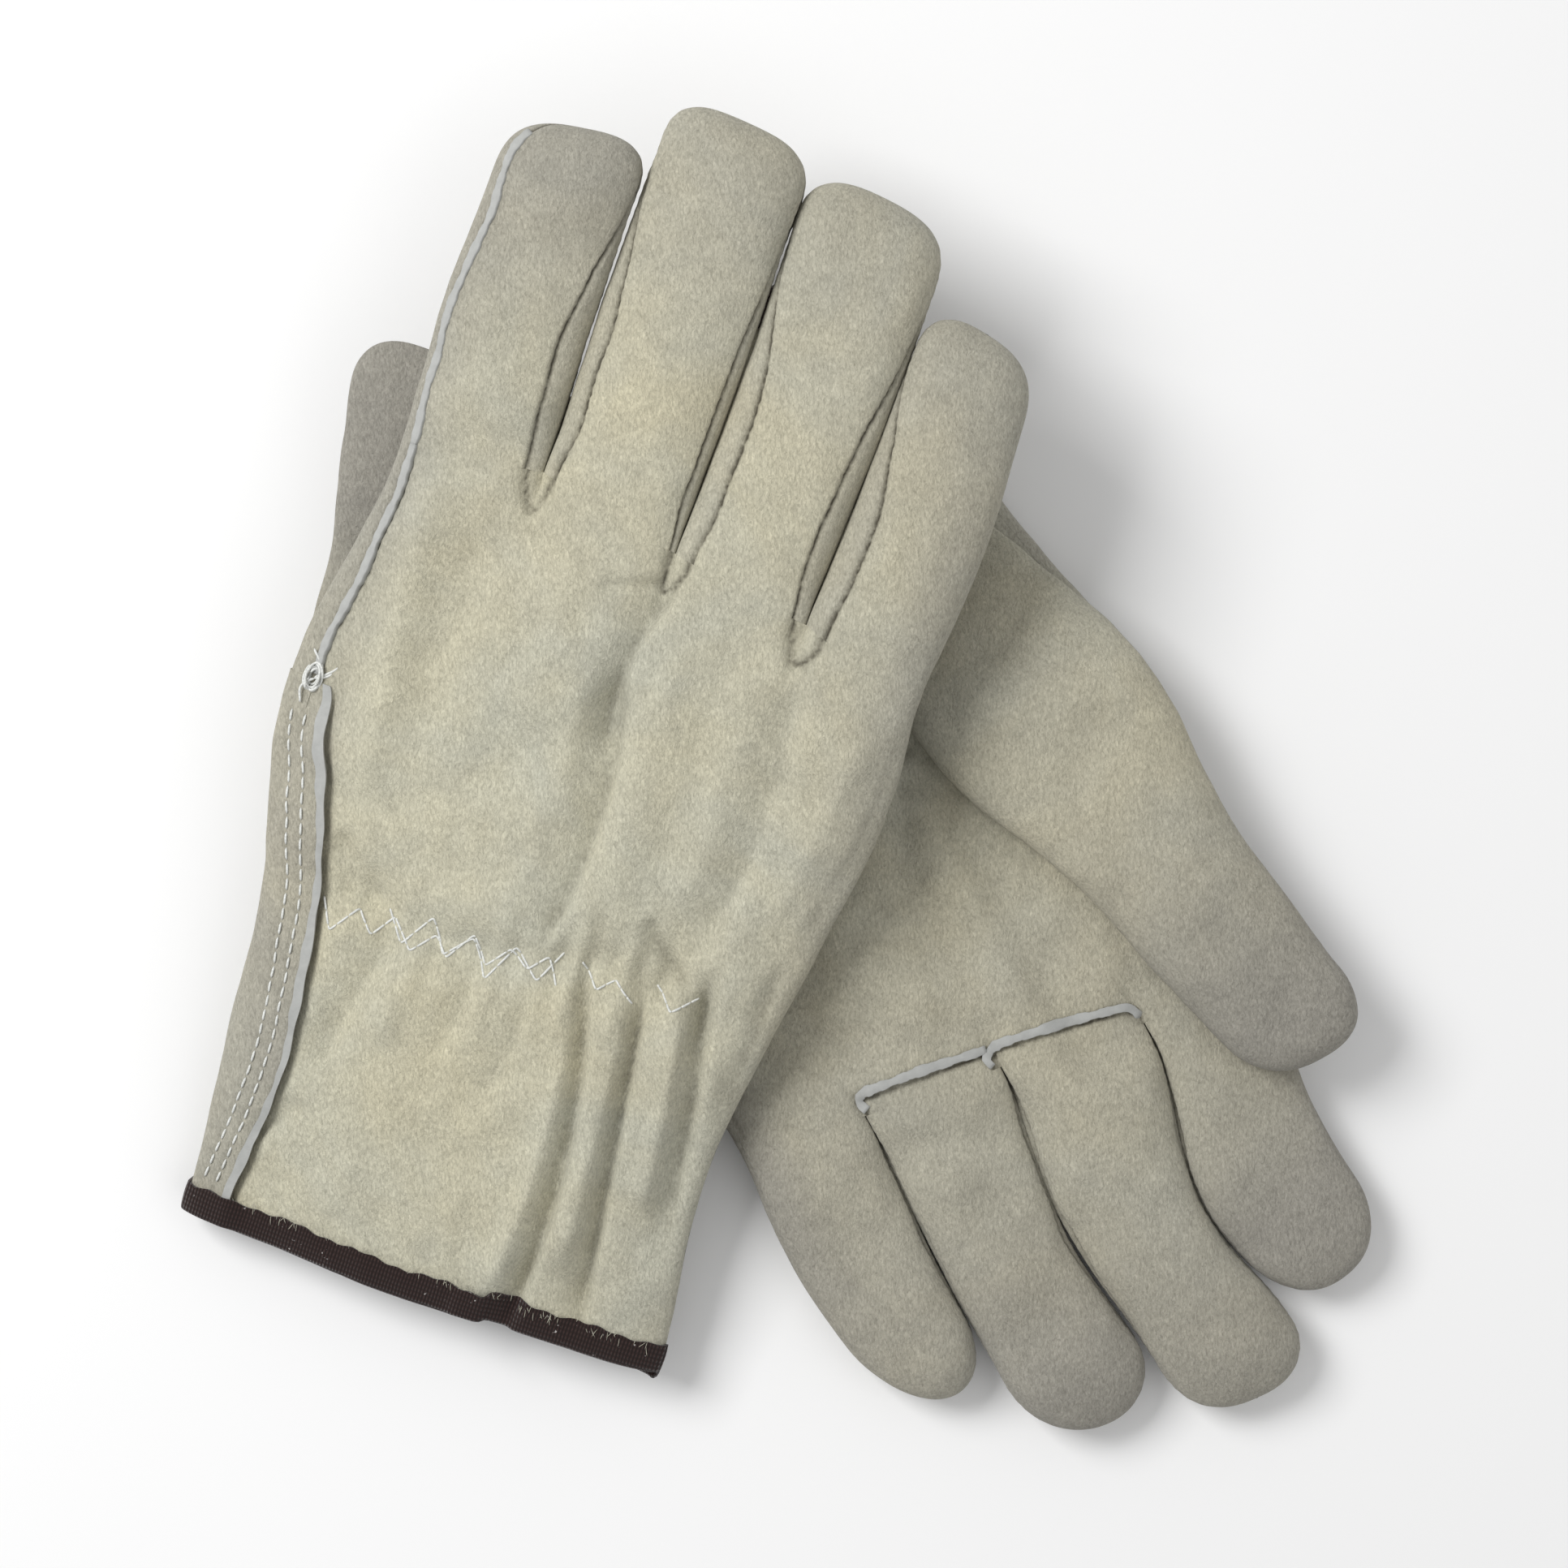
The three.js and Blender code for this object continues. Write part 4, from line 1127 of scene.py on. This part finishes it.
class GloveTrim(bpy.types.PropertyGroup):
    """Sizes and colours of the trim"""

    welt_colour: bpy.props.FloatVectorProperty(
        name="Welt", description="Welts and cut edges", size=3, subtype="COLOR",
        default=(0.40, 0.405, 0.39), min=0, max=1,
    )
    binding_colour: bpy.props.FloatVectorProperty(
        name="Binding", description="The cuff's knitted tape", size=3, subtype="COLOR",
        default=(0.032, 0.018, 0.016), min=0, max=1,
    )
    thread_colour: bpy.props.FloatVectorProperty(
        name="Thread", description="Sewing thread", size=3, subtype="COLOR",
        default=(0.74, 0.75, 0.72), min=0, max=1,
    )
    binding_height: bpy.props.FloatProperty(
        name="Binding height", description="Of the tape on each face, in millimetres", default=5.7,
        min=3, max=15,
    )
    stitch_length: bpy.props.FloatProperty(
        name="Stitch length", description="In millimetres", default=3.2, min=1, max=8,
    )


class GloveStage(bpy.types.PropertyGroup):
    """The floor, the lights and the camera"""

    floor_colour: bpy.props.FloatVectorProperty(
        name="Floor", description="The floor's colour", size=3, subtype="COLOR",
        default=(0.86, 0.86, 0.86), min=0, max=1,
    )
    key_power: bpy.props.FloatProperty(
        name="Key light", description="Power of the main soft light", default=13.0, min=0,
        unit="POWER",
    )
    lens: bpy.props.FloatProperty(
        name="Lens", description="Focal length, in millimetres", default=100.0, min=20, max=300,
    )


# ---------- operators ----------
class GLOVE_OT_hands(bpy.types.Operator):
    """Makes each glove's back and palm, with the overlap along the thumb's side"""

    bl_idname = "glove.hands"
    bl_label = "Hand panels"

    def execute(self, context):
        step = context.scene.glove_leather.step
        for hand in HANDS:
            body = f"{hand}_hand"
            for part in ("back", "palm"):
                piece = hand_panel(hand, part, step)
                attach(piece, body)
                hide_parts(f"{hand}_{part}_panel")
            piece = lap(hand, step)
            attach(piece, body)
            edge = lap_edge_strip(hand)
            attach(edge, body)
        return {"FINISHED"}


def finger_rows(hand, i, step):
    """Distances from the root to the tip at the finger's full length, closer together at the tip."""
    length, turned = FINGERS[i][1], TIP_ROUND[hand]
    straight = np.linspace(0, length - turned, int((length - turned) / step) + 1)
    turn = np.linspace(0, np.pi / 2, 22)[1:]
    tip = length - turned + turned * np.sin(turn) ** 0.8
    return np.concatenate([straight, tip])


def seam_turns(i, s):
    """The seam angles of a finger's back at s: on the little finger's side and on the thumb's side."""
    name, length = FINGERS[i][:2]
    inner, outer = FINGERS[i][6:]
    taper = 1 - smooth(s / length, 0.35, 0.97)
    low = outer + 0 * s if outer < 0 else outer * taper
    high = INDEX_WELT + 0 * s if name == "index" else 180 - inner * taper
    return low, high


def front_turns(i, s):
    name, length = FINGERS[i][:2]
    taper = 1 - smooth(s / length, 0.45, 0.97)
    low = INDEX_WELT + 0 * s if name == "index" else 180 + 12.0 * taper
    high = 335.0 + 0 * s if name == "little" else 360 - 12.0 * taper
    return low, high


def strip_points(hand, i, t, rows, near, depth):
    pucker = 0.16 * np.sin(rows * 2.1) * np.exp(-near / 1.8) * smooth(rows, 0, 6)
    sink = groove(near, 0.8, 0.9) - pucker + depth
    return finger_skin(hand, i, t, rows, sink=sink)


def finger_strip(hand, i, name, low, high, s, count):
    """One leather piece of a finger between two seam angles at each row."""
    u = np.linspace(0, 1, count)
    u = u - 0.06 * np.sin(2 * np.pi * u)
    t = mix(np.asarray(low + 0 * s)[:, None], np.asarray(high + 0 * s)[:, None], u[None, :])
    rows = np.broadcast_to(s[:, None], t.shape)
    per_degree = 15.5 * 0.0175
    near = (t - t[:, :1]) * per_degree
    far = (t[:, -1:] - t) * per_degree
    if FINGERS[i][0] == "little" and name in ("back", "front"):
        near = near + 1.2 if name == "back" else near
        far = far + 1.2 if name == "front" else far
    near = np.minimum(near, far)
    points = strip_points(hand, i, t, rows, near, 0.0)
    inner = strip_points(hand, i, t, rows * (1 - 1.2 / FINGERS[i][1]), near, 1.2)
    mark = seam_mark(near)
    mid_x = (ROOT_X[i] + ROOT_X[i + 1]) / 2
    centre = np.array([np.nan, np.nan, 0.0]) if "fourchette" not in name else np.array([mid_x, np.nan, 0.0])
    title = f"{hand}_{FINGERS[i][0]}_{name}_skin"
    part = "back" if name == "back" else "palm"
    # more grey towards the tip: partly greyer leather, partly painted shade
    along = smooth(rows / FINGERS[i][1], 0.15, 1.0)
    grey_and_shade = mix(hand_grey_and_shade(hand, part, points), TIP_GREY_AND_SHADE[hand][i] + 0.25, along)
    return sheet(title, hand, points, material("suede"), seam=mark, centre=centre, lining=inner, grey_and_shade=grey_and_shade)


class GLOVE_OT_fingers(bpy.types.Operator):
    """Makes the back, the front and the side strips of every finger"""

    bl_idname = "glove.fingers"
    bl_label = "Fingers"

    def execute(self, context):
        step = context.scene.glove_leather.step
        for hand in HANDS:
            for i, finger in enumerate(FINGERS):
                self.finger(hand, i, finger[0], step)
        return {"FINISHED"}

    def finger(self, hand, i, name, step):
        s = finger_rows(hand, i, step)
        pieces = []
        low, high = seam_turns(i, s)
        front_low, front_high = front_turns(i, s)
        pieces.append((finger_strip(hand, i, "back", low, high, s, 34), "back"))
        pieces.append((finger_strip(hand, i, "front", front_low, front_high, s, 38), "front"))
        short = s[s < FINGERS[i][1] * 0.97]
        low, high = seam_turns(i, short)
        front_low, front_high = front_turns(i, short)
        if name != "little":
            strip = finger_strip(hand, i, "fourchette_outer", front_high - 360, low, short, 12)
            pieces.append((strip, "fourchette_outer"))
        if name != "index":
            strip = finger_strip(hand, i, "fourchette_inner", high, front_low, short, 12)
            pieces.append((strip, "fourchette_inner"))
        for piece, part in pieces:
            finger_blend(piece, hand, i)
            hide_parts(f"{hand}_{name}_{part}")


class GLOVE_OT_thumbs(bpy.types.Operator):
    """Makes each thumb: the outer piece with its keystone gusset, and the inner piece"""

    bl_idname = "glove.thumbs"
    bl_label = "Thumbs"

    def execute(self, context):
        step = context.scene.glove_leather.step
        for hand in HANDS:
            end = THUMB_END[hand]
            tip = end - 15 + 15 * np.sin(np.linspace(0, np.pi / 2, 20)[1:]) ** 0.8
            outer_rows = np.concatenate([np.arange(60, end - 15, step), [end - 15], tip])
            inner_rows = outer_rows[outer_rows > 98]
            for side, rows, part in ((1, outer_rows, "outer"), (-1, inner_rows, "inner")):
                t, y = np.meshgrid(np.linspace(0, 180, 56), rows)
                near = np.minimum(t, 180 - t) * 0.3
                sink = groove(near, 0.9, 1.0) * smooth(y, 98, 112)
                points = thumb_skin(hand, side, t, y, sink=sink)
                inside = np.where(y > 150, y - (y - 150) * 1.2 / (end - 150), y)
                lining = thumb_skin(hand, side, t, inside, sink=sink + 1.1)
                mark = seam_mark(near) * smooth(y, 98, 112)
                centre = np.array([np.nan, np.nan, -9.0 if part == "inner" else -4.0])
                title = f"{hand}_thumb_{part}_skin"
                # more grey towards the tip, and more on the right thumb, which lies partly in shadow: painted
                # shade, partly greyer leather
                grey_and_shade = 0.28 + 0.65 * smooth(y, 120, end) + (0.4 if hand == "right" else 0.1)
                suede = material("suede")
                piece = sheet(title, hand, points, suede, seam=mark, centre=centre, lining=lining, grey_and_shade=grey_and_shade)
                thumb_blend(piece, hand)
                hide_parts(f"{hand}_thumb_{part}")
                if part == "outer":
                    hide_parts(f"{hand}_thumb_gusset")
        return {"FINISHED"}


class GLOVE_OT_welts(bpy.types.Operator):
    """Makes the grey strips that stand out of the thumb-side seam and of the seam across the palm"""

    bl_idname = "glove.welts"
    bl_label = "Welts"

    def execute(self, context):
        for hand in HANDS:
            self.side_welt(hand)
            self.index_welt(hand)
            self.gunn_welt(hand)
        return {"FINISHED"}

    def side_welt(self, hand):
        y = np.linspace(KNOT_Y + 1, ROOT_Y[0] + 0.2, 60)
        v = y / ROOT_Y[0]
        path = hand_skin(hand, welt_turn(v), v, -0.35)
        outward, across = welt_frames(path)
        piece = welt_strip(f"{hand}_side_welt_strip", hand, path, outward, across, 0.75, 1.9)
        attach(piece, f"{hand}_hand")
        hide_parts(f"{hand}_side_welt")

    def index_welt(self, hand):
        s = np.linspace(0, FINGERS[0][1] - 3.0, 110)
        path = finger_skin(hand, 0, np.full_like(s, INDEX_WELT), s, sink=0.35)
        outward, across = welt_frames(path)
        piece = welt_strip(f"{hand}_index_welt_strip", hand, path, outward, across, 0.75, 1.9)
        finger_blend(piece, hand, 0)
        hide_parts(f"{hand}_index_welt")

    def gunn_welt(self, hand):
        meshes = []
        for k, corners in enumerate(GUNN_CUT):
            corners = np.array(corners, float)
            path = smooth_path(corners, 50)
            root = np.interp(path[:, 0], ROOT_X, ROOT_Y) - 0.3
            path = palm_point(hand, path[:, 0], np.minimum(path[:, 1], root), 0.0)
            tangent = unit(np.gradient(path, axis=0))
            down = np.tile([0.0, 0.0, -1.0], (len(path), 1))
            across = unit(np.cross(tangent, down))
            meshes.append(welt_strip(f"{hand}_gunn_welt_{k}", hand, path, down, across, 0.65, 2.1))
        select_only(meshes[0])
        meshes[1].select_set(True)
        bpy.ops.object.join()
        piece = meshes[0]
        piece.name = f"{hand}_gunn_welt_strip"
        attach(piece, f"{hand}_hand")
        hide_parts(f"{hand}_gunn_welt")


class GLOVE_OT_cuffs(bpy.types.Operator):
    """Makes the knitted binding round each cuff, and the elastic inside each wrist"""

    bl_idname = "glove.cuffs"
    bl_label = "Cuffs"

    def execute(self, context):
        height = context.scene.glove_trim.binding_height
        for hand in HANDS:
            self.binding(hand, height)
            self.elastic(hand)
        return {"FINISHED"}

    def binding(self, hand, height):
        turns = turn_at(np.linspace(around(0.0), around(360.0), 240)[:-1])
        rows = [(height * k, 0.75 + 0.25 * np.sin(np.pi * k)) for k in np.linspace(1, 0, 9)]
        rows += [(-0.7, 0.45), (-1.15, -0.35), (-1.0, -1.2), (-0.4, -1.7)]
        rows += [(height * k, -1.95) for k in (0.25, 0.5, 0.75, 1.0)]
        share = signed_power(np.cos(np.radians(turns)), 0.4)
        x = share * 56
        back = (turns < 180) & (x > -50)
        joint = np.where(back, smooth(x, 15.0, 17.0), 0)
        over = np.where(back, smooth(x, 8.0, 9.0) * (1 - smooth(x, 15.5, 16.5)), 0)
        lapped = 1.7 * smooth(turns, 118, 130) * (1 - smooth(turns, 190, 206))
        wave = 0.3 * np.sin(x * 0.35) + 0.22 * np.sin(x * 1.1 + 1)
        droop = -2.2 * np.exp(-(((x + 6) / 16) ** 2)) + 1.6 * smooth(x, 44, 56)
        grid = []
        for y, lift in rows:
            outside = 1.0 if lift > 0 else 0.0
            edge = wave * max(y, 0) / height
            yy = np.full_like(turns, y) + edge + 1.1 * joint
            v = np.maximum(yy, 0) / HAND_LENGTH
            points = hand_skin(hand, turns, v, lift + outside * (lapped + 0.8 * over))
            points[:, 1] = yy + 0.35 * droop * (turns < 180)
            grid.append(points)
        tape = material("knit")
        centre = np.array([0, 3.0, 0])
        name = f"{hand}_binding_tape"
        piece = sheet(name, hand, np.array(grid), tape, thickness=0.7, closed=True, centre=centre)
        self.knit_map(piece, hand)
        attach(piece, f"{hand}_hand")
        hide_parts(f"{hand}_cuff_binding")

    def knit_map(self, piece, hand):
        """A UV map in metres: round the cuff and across the tape."""
        mesh = piece.data
        matrix, origin = AXES[hand]
        co = np.zeros(len(mesh.vertices) * 3)
        mesh.vertices.foreach_get("co", co)
        local = (co.reshape(-1, 3) - origin) @ matrix
        layer = mesh.uv_layers.new(name="knit")
        loops = np.zeros(len(mesh.loops), int)
        mesh.loops.foreach_get("vertex_index", loops)
        uv = np.stack([local[loops, 0], local[loops, 1]], axis=1)
        layer.data.foreach_set("uv", uv.ravel())

    def elastic(self, hand):
        turns = turn_at(np.linspace(around(62.0), around(118.0), 40))
        rows = np.linspace(ELASTIC_Y - 4, ELASTIC_Y + 4, 5)
        t, y = np.meshgrid(turns, rows)
        points = hand_skin(hand, t, y / HAND_LENGTH, -1.9)
        centre = np.array([np.nan, np.nan, 0])
        piece = sheet(f"{hand}_elastic_band", hand, points, material("elastic"), thickness=0.9, centre=centre)
        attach(piece, f"{hand}_hand")
        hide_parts(f"{hand}_wrist_elastic")


def back_point(hand, x, y, lift):
    """Points of the back's skin above plan positions."""
    v = y / np.interp(x, ROOT_X, ROOT_Y)
    half = hand_half(x, y)
    share = np.clip(x / half, -0.999, 0.999)
    t = np.degrees(np.arccos(signed_power(share, 2.5)))
    return hand_skin(hand, t, v, lift)


class GLOVE_OT_stitches(bpy.types.Operator):
    """Sews the lap with two rows and the elastic with a zigzag, ties the knot and frays the cut edge"""

    bl_idname = "glove.stitches"
    bl_label = "Stitches"

    def execute(self, context):
        length = context.scene.glove_trim.stitch_length
        for hand in HANDS:
            made = (self.lap_rows(hand, length), self.zigzag(hand), self.knot(hand), self.fringe(hand))
            for piece, slot in zip(made, ("thread", "thread", "thread", "leather")):
                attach(piece, f"{hand}_hand")
            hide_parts(f"{hand}_seam_knot")
        return {"FINISHED"}

    def lap_rows(self, hand, length):
        paths = []
        for row in (4.8, 8.3):
            for y in np.arange(8.0, KNOT_Y - 10, length):
                ys = np.linspace(y + 0.35, y + length - 0.35, 6)
                s = 1 - row / lap_width(ys)
                path = lap_skin(hand, s, ys)
                path[:, 2] += 0.05 - 0.28 * np.abs(np.linspace(-1, 1, 6)) ** 3
                path[:, 0] += 0.12 * np.sin(y * 3.7)
                paths.append(path)
        return tubes(f"{hand}_lap_stitches", hand, paths, 0.27, material("thread"))

    def zigzag(self, hand):
        rng = np.random.default_rng(31)
        paths = []
        for first, last, pitch, height in ZIGZAGS:
            x = np.arange(first, last, pitch)
            swing = 0.5 * (-1.0) ** np.arange(len(x)) + rng.uniform(-0.3, 0.3, len(x))
            x = x + rng.uniform(-0.8, 0.8, len(x))
            corners = np.stack([x, ELASTIC_Y - 1.5 + ZIGZAG_SLOPE * x + height * swing], axis=1)
            path = smooth_path(corners, int(18 * len(corners)))
            path = back_point(hand, path[:, 0], path[:, 1], 0.1)
            for k in range(0, len(path) - 8, 9):
                part = path[k : k + 10].copy()
                part[:, 2] -= 0.3 * np.abs(np.linspace(-1, 1, len(part))) ** 4
                paths.append(part)
        return tubes(f"{hand}_elastic_stitches", hand, paths, 0.25, material("thread"))

    def knot(self, hand):
        rng = np.random.default_rng(5)
        seat = hand_skin(hand, np.array([141.0]), np.array([KNOT_Y / ROOT_Y[0]]), 1.0)[0]
        paths = []
        for k in range(8):
            a = np.linspace(0, 2 * np.pi * 0.9, 22) + rng.random() * 6
            size = np.array([1.6, 2.9, 0.9]) * (0.7 + 0.5 * rng.random())
            loop = np.stack([np.cos(a), np.sin(a), np.sin(2 * a + k) * 0.7], axis=1) * size
            paths.append(seat + loop + rng.normal(size=3) * 0.5)
        s = np.linspace(0, 1, 20)
        for dx, dy, bend in ((5.5, 9.0, 1.8), (-2.4, -6.0, -1.2), (4.2, 3.0, 0.8), (-1.0, 6.0, 1.4)):
            tail = np.stack([dx * s + bend * np.sin(s * 4), dy * s, 0.6 - 0.5 * s], axis=1)
            paths.append(seat + tail)
        return tubes(f"{hand}_knot", hand, paths, 0.28, material("thread"))

    def fringe(self, hand):
        """Leather fibres that stand out of the back's cut edge, over the binding"""
        rng = np.random.default_rng(9)
        paths = []
        for x in rng.uniform(-53, 53, 110):
            y = rng.uniform(5.6, 7.4)
            start = back_point(hand, np.array([x]), np.array([y]), 0.9)[0]
            reach = np.array([rng.normal() * 0.5, -rng.uniform(0.6, 2.0), rng.uniform(0.1, 0.5)])
            s = np.linspace(0, 1, 4)[:, None]
            paths.append(start + reach * s + np.array([0.3, 0, 0.2]) * rng.normal() * s * s)
        return tubes(f"{hand}_fringe", hand, paths, 0.07, material("fibre"), sides=3)


class GLOVE_OT_stage(bpy.types.Operator):
    """Sets the floor, the soft lights and the camera"""

    bl_idname = "glove.stage"
    bl_label = "Stage"

    def execute(self, context):
        stage = context.scene.glove_stage
        bpy.ops.mesh.primitive_plane_add(size=6, location=(0, 0, 0))
        floor = bpy.context.active_object
        floor.name = "floor"
        paint, _, shader = new_material("Floor", 0.9, specular=0.1)
        shader.inputs["Base Color"].default_value = (*stage.floor_colour, 1)
        floor.data.materials.append(paint)
        self.lamp("Key", (-0.75, 0.45, 0.95), 0.6, stage.key_power)
        self.lamp("Fill", (0.9, -0.5, 1.2), 1.4, stage.key_power * 0.30)
        world = bpy.data.worlds.new("Studio")
        world.use_nodes = True
        world.node_tree.nodes["Background"].inputs["Color"].default_value = (1, 1, 1, 1)
        world.node_tree.nodes["Background"].inputs["Strength"].default_value = 0.5
        context.scene.world = world
        self.camera(context, stage)
        context.scene.view_settings.view_transform = "Standard"
        return {"FINISHED"}

    def lamp(self, name, place, size, power):
        data = bpy.data.lights.new(name, "AREA")
        data.size = size
        data.energy = power
        lamp = bpy.data.objects.new(name, data)
        lamp.location = place
        lamp.rotation_euler = (-Vector(place)).to_track_quat("-Z", "Y").to_euler()
        bpy.context.scene.collection.objects.link(lamp)

    def camera(self, context, stage):
        data = bpy.data.cameras.new("Camera")
        data.lens = stage.lens
        data.sensor_width = 36.0
        data.clip_end = 20
        camera = bpy.data.objects.new("Camera", data)
        width = 0.341
        camera.location = (0.0, 0.0, width * stage.lens / data.sensor_width + 0.02)
        context.scene.collection.objects.link(camera)
        context.scene.camera = camera


class GLOVE_PT_panel(bpy.types.Panel):
    """Lists the gloves' pieces and their settings"""

    bl_idname = "GLOVE_PT_panel"
    bl_label = "Suede work gloves"
    bl_space_type = "VIEW_3D"
    bl_region_type = "UI"
    bl_category = "Gloves"

    def draw(self, context):
        for settings in (context.scene.glove_leather, context.scene.glove_trim, context.scene.glove_stage):
            box = self.layout.box()
            for key in settings.__annotations__:
                box.prop(settings, key)
        for operator in PIECES:
            self.layout.operator(operator.bl_idname)


PIECES = (
    GLOVE_OT_hands,
    GLOVE_OT_fingers,
    GLOVE_OT_thumbs,
    GLOVE_OT_welts,
    GLOVE_OT_cuffs,
    GLOVE_OT_stitches,
    GLOVE_OT_stage,
)
SETTINGS = (("glove_leather", GloveLeather), ("glove_trim", GloveTrim), ("glove_stage", GloveStage))


def register():
    for name, group in SETTINGS:
        bpy.utils.register_class(group)
        setattr(bpy.types.Scene, name, bpy.props.PointerProperty(type=group))
    for made in (*PIECES, GLOVE_PT_panel):
        bpy.utils.register_class(made)


def unregister():
    for made in (GLOVE_PT_panel, *reversed(PIECES)):
        bpy.utils.unregister_class(made)
    for name, group in reversed(SETTINGS):
        delattr(bpy.types.Scene, name)
        bpy.utils.unregister_class(group)


def main():
    register()
    bpy.ops.glove.hands()
    bpy.ops.glove.fingers()
    bpy.ops.glove.thumbs()
    bpy.ops.glove.welts()
    bpy.ops.glove.cuffs()
    bpy.ops.glove.stitches()
    bpy.ops.glove.stage()


if __name__ == "__main__":
    main()
